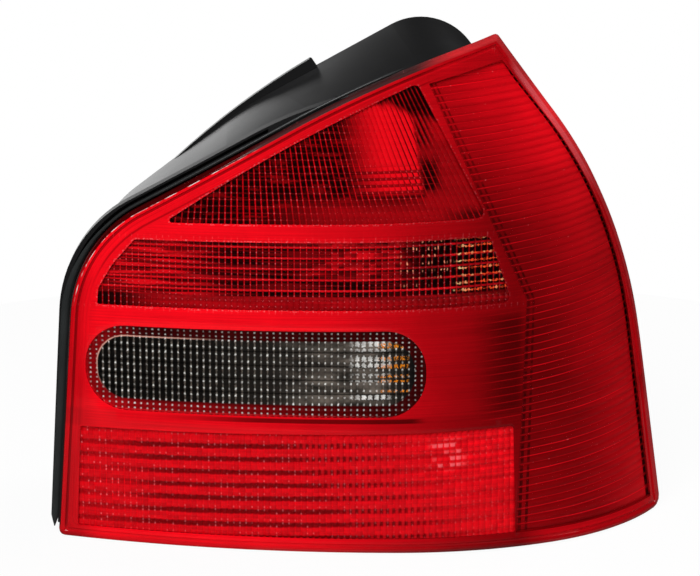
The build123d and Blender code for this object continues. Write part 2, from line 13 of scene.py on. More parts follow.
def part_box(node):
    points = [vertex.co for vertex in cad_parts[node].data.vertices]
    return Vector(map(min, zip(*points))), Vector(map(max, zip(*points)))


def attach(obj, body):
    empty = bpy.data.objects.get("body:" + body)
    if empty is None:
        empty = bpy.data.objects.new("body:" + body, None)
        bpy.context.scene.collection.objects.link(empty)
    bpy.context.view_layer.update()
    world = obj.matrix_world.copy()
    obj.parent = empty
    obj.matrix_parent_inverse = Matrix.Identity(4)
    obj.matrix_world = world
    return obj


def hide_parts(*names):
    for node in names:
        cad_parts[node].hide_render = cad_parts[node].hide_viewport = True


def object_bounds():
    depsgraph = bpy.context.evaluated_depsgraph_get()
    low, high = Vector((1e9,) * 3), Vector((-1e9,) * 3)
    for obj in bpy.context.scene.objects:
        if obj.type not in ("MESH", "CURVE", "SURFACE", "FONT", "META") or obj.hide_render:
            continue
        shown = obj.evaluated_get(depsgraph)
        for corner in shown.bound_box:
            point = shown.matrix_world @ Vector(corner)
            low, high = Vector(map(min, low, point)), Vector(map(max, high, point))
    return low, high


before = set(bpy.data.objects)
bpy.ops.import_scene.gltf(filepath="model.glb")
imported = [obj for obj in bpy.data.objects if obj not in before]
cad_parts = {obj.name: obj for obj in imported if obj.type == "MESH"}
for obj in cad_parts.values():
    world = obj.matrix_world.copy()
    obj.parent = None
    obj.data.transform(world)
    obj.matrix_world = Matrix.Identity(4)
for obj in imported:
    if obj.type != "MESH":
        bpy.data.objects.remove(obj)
CAD_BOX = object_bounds()

# The shapes below are in millimetres, and the scene is in metres
MM = 0.001

# Lens face: three tangent arcs in plan, carried upwards along a leaning line
FOOT_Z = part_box("red_lens")[0].z / MM
CROWN_X = 2.0
FACE_DEPTH = 125.0
INBOARD_RADIUS = 575.0
MIDDLE_RADIUS = 205.0
CORNER_RADIUS = 125.0
MIDDLE_TURN = math.radians(22.0)
LEAN_X = -0.2
LEAN_Y = 0.1

# Lens outline from the front as (x, z), clockwise from the inboard foot
LENS_CORNERS = [
    (-171.6, FOOT_Z), (-160.1, 35.5), (-13.1, 116.3), (51.5, 135.2), (124.4, 34.1), (143.2, FOOT_Z)]
LENS_RADII = [3.0, 70.0, 400.0, 2.5, 280.0, 4.0]
SKIRT_DEPTH = 9.0
LENS_END_Y = -20.0

# Rounded lens edge, as distances in from the outline and depths behind the face
EDGE_RADIUS = 2.0
EDGE_ROUND = [(0.0, EDGE_RADIUS), (0.27, 1.0), (0.59, 0.58), (1.2, 0.17), (EDGE_RADIUS, 0.0)]

# Rim groove: its start and end in from the outline, its size, and the gap to the plain panel's grid
GROOVE_START = 3.5
GROOVE_END = GROOVE_START + 1.0
GROOVE_SLOPE = 0.5
GROOVE_DEPTH = 0.5
PANEL_GAP = 1.5

# Spacing of mesh points: along arcs, along outlines and across plain panels
LENS_ARC_STEP = 2.0
SIDE_ARC_STEP = 6.0
OUTLINE_STEP = 3.0
PANEL_STEP = 5.0

# Clear pill window, with half the lengths of its straight runs and the width of its bevel
PILL_CENTRE = (-69.5, -27.3)
PILL_SIZE = (171.0, 43.4)
PILL_RADIUS = 20.5
PILL_FLAT = (PILL_SIZE[0] / 2 - PILL_RADIUS, PILL_SIZE[1] / 2 - PILL_RADIUS)
PILL_BEZEL = 6.0
PILL_CORNERS = [
    (PILL_CENTRE[0] + across * PILL_SIZE[0] / 2, PILL_CENTRE[1] + up * PILL_SIZE[1] / 2)
    for across, up in ((-1, -1), (-1, 1), (1, 1), (1, -1))]

# Windows in the plain frame: corners as (x, z), clockwise, their radii, and the spacing of points on arcs
UPPER_FOOT = 47.4
LOWER_LEFT = -160.9
FRAME_WINDOWS = {
    "upper": (
        [(-114.0, UPPER_FOOT), (-49.5, 89.8), (11.0, 115.4), (46.3, 47.8)], [1.2, 600.0, 3.0, 3.0], 4.0),
    "band": (
        [(-148.4, 4.7), (-147.6, 13.0), (-140.2, 25.4), (-128.8, 38.4), (47.5, 38.4), (59.0, 4.9)],
        [0.8, 6.0, 25.0, 2.5, 3.0, 3.0], 2.0),
    "lower": (
        [(LOWER_LEFT, FOOT_Z + 7.1), (-158.5, -59.0), (60.3, -56.8), (61.6, FOOT_Z + 7.8)],
        [1.0, 1.0, 1.5, 1.5], 1.5),
    "pill": (PILL_CORNERS, [PILL_RADIUS] * 4, 2.5)}

# Fluted side as (x, z), up its inboard edge and down its outboard one
SIDE_INBOARD = [(61.9, FOOT_Z + 7.5), (66.0, -14.8), (66.9, 4.8), (16.8, 114.9), (53.5, 123.6)]
SIDE_OUTBOARD = [(136.5, FOOT_Z + 7.5), (116.9, 42.5), (53.5, 123.6)]
SIDE_KNEE_RADIUS = 250.0

# Depths behind the lens face, and how far the lines of each relief stand back
WINDOW_EDGE = 0.25
SKIN_INSET = 0.2
OPTIC_INSET = 0.9
PILL_EDGE_INSET = 1.0
PILL_INSET = 2.0
SIDE_INSET = 1.6
FLUTE_RELIEF = 0.7
UPPER_RELIEF = 0.3
BAND_RELIEF = 0.5
LOWER_RELIEF = 0.6
PILL_RELIEF = 0.4
SIDE_RELIEF = 0.4
BEVEL_WIDTH = 0.9

# Flutes and rows of the optics: pitches, starts and slopes
FLUTE_PITCH = 3.1
PILL_PITCH = 3.2
UPPER_ROW = 3.3
UPPER_FAN = 0.0042
FAN_X = -77.6
FAN_SPARE = (4.0, 22.0)
BAND_ROW = 5.4
BAND_RUNG = 3.6
GLINT_ROW = 3.6
GLINT_LEVEL = 12.9
PILL_ROW = 7.0
LOWER_ROW = 6.73
LOWER_STRIPE = -107.5
LOWER_SLOPE = 0.025
SIDE_ROW = 3.7
SIDE_SLOPE = 0.06
SIDE_LEVEL_X = 60.0
SIDE_EASE = 14.0

# Fluted side: columns as shares of its width, those where a dark strip starts, and the end rows' margin
SIDE_COLUMNS = 44
SIDE_INBOARD_SHARES = [0.0, 0.012, 0.034, 0.060, 0.080]
SIDE_OUTBOARD_SHARES = [0.966, 0.99, 1.0]
DASH_SHARES = (0.012, 0.060, 0.966)
SKIN_COLUMNS = 24
ROW_MARGIN = 1e-4

# Distances kept on the lens frame's mesh
EDGE_DISTANCE = "edge_mm"
WINDOW_DISTANCE = "window_mm"

# Bead on the housing's lip, and the crown of the housing's walls
BEAD_OUT = 1.5
BEAD_DEPTH = 4.0
BEAD_RADIUS = 0.8
BEAD_SIDES = 10
BEAD_RISE = 3.0
BEAD_SPREAD = 1.1
BEAD_FLAT_TOP = 45.0
BEAD_FLAT_FADE = 40.0
BEAD_END_X = 6.0
BEAD_TIP = 0.1
BEAD_RUN_IN = 2
BEAD_RUN_OUT = 5
HOUSING_CROWN = 0.0007

# Stage, in metres, with the camera's target, sensor and focal length in millimetres
FLOOR_RADIUS = 0.48
FLOOR_CENTRE = (-0.015, -0.06)
FLOOR_GAP = 0.0004
LAMP_AIM = (-0.02, -0.08, 0.0)
SENSOR_WIDTH = 36.0
FOCAL_LENGTH = 126.5
CAMERA_TARGET = (-22.0, -FACE_DEPTH, 20.0)
CAMERA_DISTANCE = 1.2
CAMERA_ELEVATION = math.radians(15.0)


def face_y(x, z, inset=0.0):
    """Depth of the lens face at a front-view point, moved in by inset."""
    rise = z - FOOT_Z
    plan_x = x - LEAN_X * rise
    centre_x, centre_y, radius = CROWN_X, INBOARD_RADIUS - FACE_DEPTH, INBOARD_RADIUS
    if plan_x > CROWN_X:
        centre_y, radius = MIDDLE_RADIUS - FACE_DEPTH, MIDDLE_RADIUS
    if plan_x > CROWN_X + (MIDDLE_RADIUS - inset) * math.sin(MIDDLE_TURN):
        step = MIDDLE_RADIUS - CORNER_RADIUS
        centre_x += step * math.sin(MIDDLE_TURN)
        centre_y -= step * math.cos(MIDDLE_TURN)
        radius = CORNER_RADIUS
    reach = radius - inset
    across = plan_x - centre_x
    return centre_y - math.sqrt(max(reach * reach - across * across, 0.0)) + LEAN_Y * rise


def on_face(x, z, inset):
    """Scene point of a front-view point at a depth behind the lens face."""
    return Vector((x, face_y(x, z, inset), z)) * MM


def moved_side(start, end, amount):
    """A side of an outline, moved to its left by amount."""
    run = math.dist(start, end)
    shift = (-(end[1] - start[1]) / run * amount, (end[0] - start[0]) / run * amount)
    return (start[0] + shift[0], start[1] + shift[1]), (end[0] + shift[0], end[1] + shift[1])


def crossing(one, two):
    """Point where two lines, each given by two points, cross."""
    (ax, ay), (bx, by) = one
    (cx, cy), (dx, dy) = two
    turn = (bx - ax) * (dy - cy) - (by - ay) * (dx - cx)
    share = ((cx - ax) * (dy - cy) - (cy - ay) * (dx - cx)) / turn
    return ax + share * (bx - ax), ay + share * (by - ay)


def arc_points(before, corner, after, radius, spacing):
    """Points along the arc that rounds one corner of an outline."""
    into = (Vector(corner) - Vector(before)).normalized()
    out = (Vector(after) - Vector(corner)).normalized()
    turn = into.angle_signed(out)
    tangent = radius * math.tan(abs(turn) / 2)
    start = Vector(corner) - into * tangent
    side = Vector((into.y, -into.x)) * math.copysign(1, turn)
    centre = start + side * radius
    spoke = start - centre
    count = max(3, round(radius * abs(turn) / spacing))
    points = []
    for step in range(count + 1):
        cos, sin = math.cos(turn * step / count), math.sin(turn * step / count)
        points.append((centre.x + spoke.x * cos + spoke.y * sin, centre.y + spoke.y * cos - spoke.x * sin))
    return points


def rounded(corners, radii, grow, spacing):
    """Clockwise outline with rounded corners, moved out by grow, with points only on its arcs."""
    sides = [moved_side(a, b, grow) for a, b in zip(corners, corners[1:] + corners[:1])]
    turns = [crossing(sides[count - 1], sides[count]) for count in range(len(corners))]
    points = []
    for count, corner in enumerate(turns):
        before = turns[count - 1]
        after = turns[(count + 1) % len(turns)]
        points += arc_points(before, corner, after, max(radii[count] + grow, 0.2), spacing)
    return points


def subdivided(points, spacing):
    """A closed outline with points added on its long runs."""
    dense = []
    for start, end in zip(points, points[1:] + points[:1]):
        count = max(1, round(math.dist(start, end) / spacing))
        for step in range(count):
            share = step / count
            dense.append((start[0] + (end[0] - start[0]) * share, start[1] + (end[1] - start[1]) * share))
    return dense


def inside(point, outline):
    """Whether a front-view point lies within an outline."""
    x, z = point
    odd = False
    for (ax, az), (bx, bz) in zip(outline, outline[1:] + outline[:1]):
        if (az > z) != (bz > z) and x < ax + (z - az) / (bz - az) * (bx - ax):
            odd = not odd
    return odd


def lens_outline(grow):
    """Closely spaced points on the lens outline, moved out by grow."""
    return subdivided(rounded(LENS_CORNERS, LENS_RADII, grow, LENS_ARC_STEP), OUTLINE_STEP)


def window_outlines(grow):
    """Outlines of the windows in the plain frame, moved out by grow."""
    return {
        name: rounded(corners, radii, grow, spacing)
        for name, (corners, radii, spacing) in FRAME_WINDOWS.items()}


def span(outline, axis):
    """Lowest and highest value of an outline along one axis."""
    values = [point[axis] for point in outline]
    return min(values), max(values)


def side_outline():
    """Outline of the fluted side, clockwise from its inboard foot."""
    foot, knee, top = SIDE_OUTBOARD
    return SIDE_INBOARD + arc_points(top, knee, foot, SIDE_KNEE_RADIUS, SIDE_ARC_STEP) + [foot]


WINDOWS = {**window_outlines(0.0), "side": side_outline()}
BEVELS = window_outlines(BEVEL_WIDTH)
SIDE_LOW, SIDE_HIGH = span(WINDOWS["side"], 1)


def new_object(name, data):
    """Add an object to the scene."""
    thing = bpy.data.objects.new(name, data)
    bpy.context.scene.collection.objects.link(thing)
    return thing


def new_piece(name, bm, materials, smooth_angle=35.0):
    """Add a mesh to the scene as a piece that rides on the lamp."""
    bmesh.ops.recalc_face_normals(bm, faces=bm.faces[:])
    mesh = bpy.data.meshes.new(name)
    bm.to_mesh(mesh)
    bm.free()
    for material in materials:
        mesh.materials.append(material)
    mesh.polygons.foreach_set("use_smooth", [True] * len(mesh.polygons))
    mesh.set_sharp_from_angle(angle=math.radians(smooth_angle))
    piece = new_object(name, mesh)
    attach(piece, "root")
    return piece


def flat_grid(bm, columns, rows, place):
    """Flat grid of front-view points: place(column, row) gives x and z."""
    lines = []
    for row in rows:
        spots = [place(column, row) for column in columns]
        lines.append([bm.verts.new((x, 0.0, z)) for x, z in spots])
    for low, high in zip(lines, lines[1:]):
        for step in range(len(columns) - 1):
            bm.faces.new((low[step], low[step + 1], high[step + 1], high[step]))


def clip_to(bm, outline):
    """Cut a flat grid to a convex clockwise outline."""
    for start, end in zip(outline, outline[1:] + outline[:1]):
        if math.dist(start, end) < 1e-6:
            continue
        normal = Vector((-(end[1] - start[1]), 0.0, end[0] - start[0]))
        everything = bm.verts[:] + bm.edges[:] + bm.faces[:]
        bmesh.ops.bisect_plane(
            bm, geom=everything, plane_co=(start[0], 0.0, start[1]), plane_no=normal, clear_outer=True)


def levels(low, high, pitch, parts=4):
    """Evenly spaced values across a span, with several to each pitch."""
    first = math.floor(low / pitch * parts)
    last = math.ceil(high / pitch * parts)
    return [step * pitch / parts for step in range(first, last + 1)]


def unfanned(x, z):
    """Upright column of the upper window's fan through a point, for numbers and for wires."""
    return FAN_X + (x - FAN_X) / (1.0 - UPPER_FAN * (z - UPPER_FOOT))


def side_tilt(x, z):
    """Rise of a side flute at x, eased away at the foot and the top of the side."""
    ease = min(1.0, (z - SIDE_LOW) / SIDE_EASE, (SIDE_HIGH - z) / SIDE_EASE)
    return SIDE_SLOPE * (x - SIDE_LEVEL_X) * max(ease, 0.0)


def distance_finder(outlines):
    """Search tree of closely spaced points on outlines, for distances to them."""
    spots = [spot for outline in outlines for spot in subdivided(outline, 0.5)]
    tree = KDTree(len(spots))
    for count, (x, z) in enumerate(spots):
        tree.insert((x, z, 0.0), count)
    tree.balance()
    return tree


def crease(value, pitch):
    """1 on the lines between cells and 0 in the middle of a cell."""
    return abs((value / pitch) % 1.0 - 0.5) * 2


def raise_sheet(bm, depth, wall_inset=None):
    """Carry a flat sheet to its depth behind the lens face, and any walls to theirs."""
    walls = set()
    if wall_inset is not None:
        rim = [edge for edge in bm.edges if edge.is_boundary]
        made = bmesh.ops.extrude_edge_only(bm, edges=rim)["geom"]
        walls = {item for item in made if isinstance(item, bmesh.types.BMVert)}
        for face in (item for item in made if isinstance(item, bmesh.types.BMFace)):
            face.material_index = 1
    for vert in bm.verts:
        x, z = vert.co.x, vert.co.z
        vert.co = on_face(x, z, wall_inset if vert in walls else depth(x, z))


# Shader expressions


def operators(operation):
    """An operator that adds a Math node, and its reflected form."""
    return lambda one, two: one.maths(operation, one, two), lambda one, two: one.maths(operation, two, one)


class Wire:
    """A shader socket. Its operators add Math nodes, and add() makes any other node."""

    __add__, __radd__ = operators("ADD")
    __sub__, __rsub__ = operators("SUBTRACT")
    __mul__, __rmul__ = operators("MULTIPLY")
    __truediv__, __rtruediv__ = operators("DIVIDE")

    def __init__(self, tree, socket=None):
        self.tree = tree
        self.socket = socket

    def add(self, kind, settings=None, sockets=None, output=0):
        """New node: its settings are set first, then the values or links of its sockets."""
        node = self.tree.nodes.new(kind)
        for name, value in (settings or {}).items():
            setattr(node, name, value)
        for name, value in (sockets or {}).items():
            if isinstance(value, Wire):
                self.tree.links.new(value.socket, node.inputs[name])
            else:
                node.inputs[name].default_value = value
        return Wire(self.tree, node.outputs[output])

    def maths(self, operation, *values):
        return self.add("ShaderNodeMath", {"operation": operation}, dict(enumerate(values)))

    def step(self, low, high):
        """Smooth rise from 0 at low to 1 at high."""
        sockets = {"Value": self, "From Min": low, "From Max": high}
        return self.add("ShaderNodeMapRange", {"interpolation_type": "SMOOTHSTEP"}, sockets)

    def fall(self, low, high):
        """Smooth fall from 1 at low to 0 at high."""
        return 1 - self.step(low, high)

    def crease(self):
        """1 on whole numbers and 0 halfway between them."""
        return abs(self.maths("FRACT", self) - 0.5) * 2

    def __abs__(self):
        return self.maths("ABSOLUTE", self)

    def within(self, rise_from, rise_to, fall_from, fall_to):
        """1 between a rise and a fall, and 0 outside them."""
        return self.step(rise_from, rise_to) * self.fall(fall_from, fall_to)

    def over(self, other):
        """The larger of two values."""
        return self.maths("MAXIMUM", self, other)

    def towards(self, other, mask):
        """This value, moved to another one as a mask goes from 0 to 1."""
        return self + mask * (other - self)

    def blend(self, low, high):
        """Colour that goes from low to high as this value goes from 0 to 1."""
        return self.add("ShaderNodeMix", {"data_type": "RGBA"}, {0: self, 6: low, 7: high}, 2)

    def red(self):
        """Lens red at this brightness."""
        return self.blend(BLACK, LENS_RED)

    def point(self, x, y, z):
        return self.add("ShaderNodeCombineXYZ", None, {0: x, 1: y, 2: z})

    def noise(self, x, y, z, detail=2.0):
        """Soft noise from 0 to 1 at a point given in cells of the noise."""
        sockets = {"Vector": self.point(x, y, z), "Scale": 1.0, "Detail": detail}
        return self.add("ShaderNodeTexNoise", None, sockets)

    def chance(self, x, y, z=0.0):
        """A fixed random value from 0 to 1 for each whole-number point."""
        return self.add("ShaderNodeTexWhiteNoise", None, {"Vector": self.point(x, y, z)})

    def whole(self):
        return self.maths("FLOOR", self)

    def stored(self, name):
        """A value kept on the mesh."""
        return self.add("ShaderNodeAttribute", {"attribute_name": name}, None, 2)


def surface(name, **constants):
    """New material with plain values set on its shader's sockets, and a wire to start from."""
    material = bpy.data.materials.new(name)
    material.use_nodes = True
    tree = material.node_tree
    shader = tree.nodes["Principled BSDF"]
    for socket, value in constants.items():
        shader.inputs[socket.replace("_", " ")].default_value = value
    return material, Wire(tree)


def feed(material, **sockets):
    """Link what changes over the surface to the shader's sockets."""
    shader = material.node_tree.nodes["Principled BSDF"]
    for socket, wire in sockets.items():
        material.node_tree.links.new(wire.socket, shader.inputs[socket.replace("_", " ")])


def split(start, spot):
    """Wires for the x, y and z of a vector."""
    parts = start.add("ShaderNodeSeparateXYZ", None, {0: spot}).socket.node
    return [Wire(start.tree, output) for output in parts.outputs]


def place_mm(start):
    """Wires for the x, y and z of the surface in millimetres."""
    return [part / MM for part in split(start, start.add("ShaderNodeTexCoord", output=3))]


def mottle(start, size, detail=2.0):
    """Soft noise over the surface, in cells of a size in millimetres."""
    x, y, z = place_mm(start)
    return start.noise(x / size, y / size, z / size, detail)


def bump(start, height, strength, distance):
    """Normal from a height wire."""
    return start.add("ShaderNodeBump", None, {"Strength": strength, "Distance": distance, "Height": height})


def flute_level(x, z):
    """Level of a side flute, with its rise at x taken off."""
    ease = z.within(SIDE_LOW, SIDE_LOW + SIDE_EASE, SIDE_HIGH - SIDE_EASE, SIDE_HIGH)
    return z - SIDE_SLOPE * (x - SIDE_LEVEL_X) * ease


def bands(value, *spans):
    """Wire that is 1 inside each span of the value, with soft ends."""
    soft = 0.4
    return reduce(Wire.over, [value.within(low - soft, low, high, high + soft) for low, high in spans])


# Colours, linear
LENS_RED = (1.0, 0.0028, 0.0105, 1.0)
BLACK = (0.0, 0.0, 0.0, 1.0)
# Glint colours below are colours of painted highlights and reflections
PINK_GLINT = (1.0, 0.22, 0.25, 1.0)
GOLD_GLINT = (1.0, 0.66, 0.30, 1.0)
ORANGE_GLINT = (1.0, 0.085, 0.020, 1.0)
AMBER_GLINT = (0.80, 0.25, 0.008, 1.0)
PINK_ORANGE_GLINT = (1.0, 0.35, 0.20, 1.0)
WHITE_GLINT = (0.90, 0.90, 0.87, 1.0)
# Pink of the painted highlight on the pill window's lip
LIP_HIGHLIGHT_PINK = (0.85, 0.45, 0.36, 1.0)
# Pink of the painted highlight on the outboard rim
RIM_HIGHLIGHT_PINK = (0.95, 0.20, 0.23, 1.0)
WARM_GREY = (0.62, 0.52, 0.43, 1.0)
# Near black of the painted shade outboard of the pill's bulb
SHADE_GREY = (0.006, 0.005, 0.005, 1.0)
WHITE = (1.0, 1.0, 1.0, 1.0)

# Plain values of the optics and of the fluted side, which have hardly any shine of their own
OPTIC_SHINE = {"Roughness": 0.3, "Specular_IOR_Level": 0.08}
SIDE_SHINE = {"Roughness": 0.4, "Specular_IOR_Level": 0.03}


def painted(look, shine):
    """New material, named for its look, with the colour that the look gives from place to place."""
    material, start = surface(look.__name__, **shine)
    feed(material, Base_Color=look(start, *place_mm(start)))
    return material


def frame_red():
    """Plain red moulding with painted light and shade, brightest inboard, lines along its rims and painted
    glints at the windows.
    """
    material, start = surface("lens_red", Specular_IOR_Level=0.3, Coat_Roughness=0.03)
    x, _, z = place_mm(start)
    edge = start.stored(EDGE_DISTANCE)
    border = start.stored(WINDOW_DISTANCE)
    outboard = x.step(-80, 70)
    high = z.step(45, 110)
    inboard_rim = x.fall(-163, -147) * z.fall(10, 45)
    outer_rim = x.step(62, 80)
    # Painted light and shade: brightest inboard and darker outboard, darker on the low inboard rim and at
    # the top inboard, lighter at the top outboard and up the outboard rim
    level = 0.88 - 0.68 * outboard - 0.36 * inboard_rim
    level = level + high * (0.40 * outboard - 0.16) + outer_rim * (0.26 + 0.34 * high)
    # Painted shade on the panel outboard of the pill, just under the pill and between the pill and the
    # lower window, and a painted highlight just above the pill
    shade = x.within(36, 58, 61, 70) * z.within(-54, -46, -6, 3)
    shade_under_pill = z.within(-52.4, -51.8, -50.2, -49.4) * x.within(-125, -60, 8, 18)
    highlight_over_pill = z.within(-5.2, -4.8, -4, -3.4) * x.within(-150, -135, -20, 10)
    level = level * (1 - 0.60 * shade) * (1 - 0.75 * shade_under_pill) * (1 + 0.30 * highlight_over_pill)
    level = level * (1 - 0.18 * z.within(-60, -57, -51, -48))
    level = level * (0.68 + 0.32 * z.step(FOOT_Z + 1.5, FOOT_Z + 4.5))
    rim_side = x.fall(8, 30) * z.step(FOOT_Z + 3, FOOT_Z + 7)
    slanted = rim_side * z.step(10, 32)
    level_streak = start.noise(x / 70, 0, z / 0.8)
    rim_streak = start.noise(edge / 0.7, 4, (x + z) / 60)
    streak = level_streak.towards(rim_streak, rim_side * edge.fall(9, 12))
    cloud = start.noise(x / 22, 3, z / 22)
    level = level * (1 + 0.70 * (streak - 0.5) + 0.30 * (cloud - 0.5))
    # Painted shade: the outermost edge of the lens is painted dark where the black housing shows through
    # it, and the rim groove is painted dark
    painted_dark_edge = (rim_side * edge.fall(0.7, 1.1)).over(slanted * edge.fall(1.6, 1.9))
    groove_shade = rim_side * edge.within(3, 3.4, 4.3, 4.7)
    inner_line = slanted * edge.within(8, 8.4, 8.9, 9.4)
    level = level * (1 - 0.93 * painted_dark_edge) * (1 - 0.55 * groove_shade) * (1 - 0.40 * inner_line)
    # Painted highlights: ticks at the flute ends beside the band are lit and tinted with pink glints
    flute_end = (x / FLUTE_PITCH).crease().step(0.74, 0.96)
    beside_band = z.within(38.7, 39.2, 40.4, 41.6).over(z.within(2.4, 3.4, 4.2, 4.8))
    tick = flute_end * beside_band * start.noise(x / 4, 7, z / 2).step(0.40, 0.70)
    level = level + 0.10 * tick * (1 - 0.7 * outboard)
    flute_line = (flute_level(x, z) / SIDE_ROW).crease().step(0.80, 0.97) * x.step(40, 56)
    level = level + 0.20 * flute_line * z.within(-56, -52, -4, 2) * (1 - outer_rim)
    # Painted highlights: pink glint dots along the window borders
    glint_dots = border.within(0.1, 0.3, 0.8, 1) * start.noise(x / 1.1, 11, z / 1.1).step(0.50, 0.66)
    glint_dots = glint_dots * z.step(1, 4) * (1 - 0.8 * outboard)
    colour = (0.14 * tick + 0.40 * glint_dots).blend(level.red(), PINK_GLINT)
    # Painted highlight: a pink sheen up the upper outboard rim
    sheen = x.step(56, 62) * edge.within(0.9, 1.7, 3, 4.2) * z.within(45, 80, 106, 134)
    colour = (0.50 * sheen * (0.6 + 0.8 * (cloud - 0.2))).blend(colour, RIM_HIGHLIGHT_PINK)
    gleam = edge.within(1.6, 1.75, 1.85, 2.05) * x.fall(-88, -62) * z.step(2, 12)
    gleam = gleam * start.noise((x + z) / 9, 13, 0).step(0.44, 0.62)
    skirt = edge.fall(1.2, 2.2) * x.step(-80, -60)
    feed(material, Base_Color=(0.85 * gleam).blend(colour, WHITE_GLINT),
         Roughness=0.12 + 0.60 * skirt, Coat_Weight=0.15 - 0.15 * skirt)
    return material


def window_wall_red():
    """Moulded wall round each window, lit through."""
    material, start = surface("window_wall_red", Roughness=0.2, Specular_IOR_Level=0.2)
    x, _, _ = place_mm(start)
    tooth = (x / FLUTE_PITCH).crease().step(0.3, 0.9)
    feed(material, Base_Color=(0.20 + 0.40 * tooth * x.fall(-60, 70)).red())
    return material


def upper_optic_red(start, x, _, z):
    """Fan of flutes crossed by fine rows: black cells, red lines, a lit patch and a dark top corner."""
    column = unfanned(x, z) / FLUTE_PITCH
    row = z / UPPER_ROW
    line = column.crease().step(0.64, 0.92)
    rung = row.crease().step(0.70, 0.96)
    cell = start.chance(column.whole(), row.whole())
    drift = start.noise(column / 9, 1, row / 2)
    streak = start.noise(x / 16, 3, z / 2.6).step(0.52, 0.68)
    fill = 0.008 + 0.22 * streak * (1 - 0.5 * cell)
    lit = fill.over((0.08 + 0.92 * drift) * line.over(0.28 * rung))
    lit = lit + 0.34 * line * rung * cell
    ragged = z + 9 * (start.noise(column * 0.8, 17, z / 30) - 0.5)
    across = x + 0.15 * (z - 77) + 3 * (start.noise(x / 3, 19, row * 0.7) - 0.5)
    glow = across.step(-27, -2) * across.fall(11, 14) * z.step(60, 64)
    glow = glow * (1 - 0.75 * z.fall(73, 77) * row.crease().step(0.40, 0.75))
    slit = line * (0.24 + 0.66 * across.step(-4, 9))
    lit = lit.towards(0.95 - slit, glow)
    beside = across.step(11, 14)
    gap = 1 - column.crease().step(0.30, 0.62)
    near = across.fall(16, 24) * z.step(80, 88)
    side_red = 0.24 + 0.20 * drift + 0.12 * line + 0.26 * drift * z.step(80, 92)
    lit = lit.towards(side_red * (1 - 0.95 * gap * near), beside)
    corner = (ragged + 0.3 * x).step(101, 106)
    lit = lit.towards(0.85 * column.crease().step(0.55, 0.85) * drift + 0.008, corner)
    patch = across.within(10, 14, 18, 24) * ragged.within(60, 65, 74, 82)
    lit = lit.towards((0.45 * line).over(0.22 * rung * cell) + 0.012, patch)
    haze = z.fall(52, 63) * x.step(-72, -20)
    lit = lit.towards(0.25 + 0.22 * drift + 0.14 * line * rung + 0.06 * line, haze)
    lit = lit * (1 - 0.80 * x.step(18, 38) * ragged.fall(50, 55.5) * (1 - line))
    spark = line * rung * cell.step(0.35, 0.9) * (1 - glow) * (1 - 0.7 * haze) * (1 - 0.8 * beside)
    return (0.55 * spark).blend(lit.red(), PINK_GLINT)


def band_optic_red(start, x, _, z):
    """Upright flutes over level rungs: black cells, red lines, and gold glints at the outboard end."""
    column = x / FLUTE_PITCH
    row = (z - BAND_RUNG) / BAND_ROW
    line = column.crease().step(0.70, 0.94)
    rung = row.crease().step(0.72, 0.92)
    under_rung = (row + 0.18).crease().step(0.70, 0.90)
    cell = start.chance(column.whole(), (row * 2).whole())
    drift = start.noise(column / 8, 2, row * 1.3)
    streak = start.noise(x / 34, 6, z / 1.6).step(0.42, 0.60)
    inboard = x.fall(-118, -76)
    patch = x.within(-56, -28, 4, 16) * z.step(17, 26)
    fill = 0.008 + inboard * (0.14 + 0.52 * streak)
    fill = fill + patch * (0.08 + 0.60 * drift.step(0.38, 0.66) * cell.step(0, 0.7))
    fill = fill + 0.14 * streak * x.fall(-10, 20)
    fill = fill * (1 - 0.8 * under_rung)
    lit = fill.over((0.30 + 0.44 * drift) * line).over((0.46 + 0.44 * drift) * rung)
    stripe_red = 0.36 - 0.14 * x.step(-50, 60) + 0.12 * (streak - 0.5)
    stripe_red = 0.012 + x.step(-140, -112) * stripe_red
    stripe_red = stripe_red.over(0.40 * line * (1 - 0.6 * x.step(-125, -60)))
    lit = lit.towards(stripe_red, z.fall(10.8, 12))
    shift_x = 0.9 * (start.noise(x / 1.4, 21, z / 1.4) - 0.5)
    shift_z = 0.7 * (start.noise(x / 2.2, 23, z / 1.2) - 0.5)
    glint_level = (z - GLINT_LEVEL) / GLINT_ROW + shift_z
    glint_row = glint_level.crease()
    half_column = x / FLUTE_PITCH * 2 + shift_x
    bead = half_column.crease()
    flicker = start.chance((half_column + 0.5).whole(), (glint_level + 0.5).whole(), 4)
    ragged = x + 5 * (start.noise(x / 5, 15, z / 3) - 0.5)
    # Painted glints on a darkened ground: sparse pink-orange glints in a middle zone, and rows of orange
    # and gold glints at the outboard end
    small_glint_zone = ragged.within(0, 6, 24, 30) * z.step(13, 21)
    glint_zone = ragged.step(29.5, 31.5) * z.step(9, 12)
    lit = lit * (1 - 0.55 * small_glint_zone) * (1 - 0.40 * glint_zone)
    spark = line * (row * 2).crease().step(0.62, 0.95) * cell.step(0.25, 0.85) * (1 - glint_zone)
    colour = (0.6 * spark).blend(lit.red(), PINK_GLINT)
    ray = glint_zone * (glint_row + 0.24 * bead).step(0.80, 1.06) * (0.25 + 0.75 * flicker.step(0.10, 0.55))
    glint_whiteness = x.fall(33, 37) * flicker.step(0.05, 0.45)
    glint_whiteness = glint_whiteness.over(0.5 * flicker.step(0.80, 0.95))
    colour = ray.blend(colour, glint_whiteness.blend(ORANGE_GLINT, GOLD_GLINT))
    small_glint = small_glint_zone * glint_row.step(0.55, 0.90) * bead.step(0.40, 0.85) * flicker.step(0.55, 0.85)
    return small_glint.blend(colour, PINK_ORANGE_GLINT)


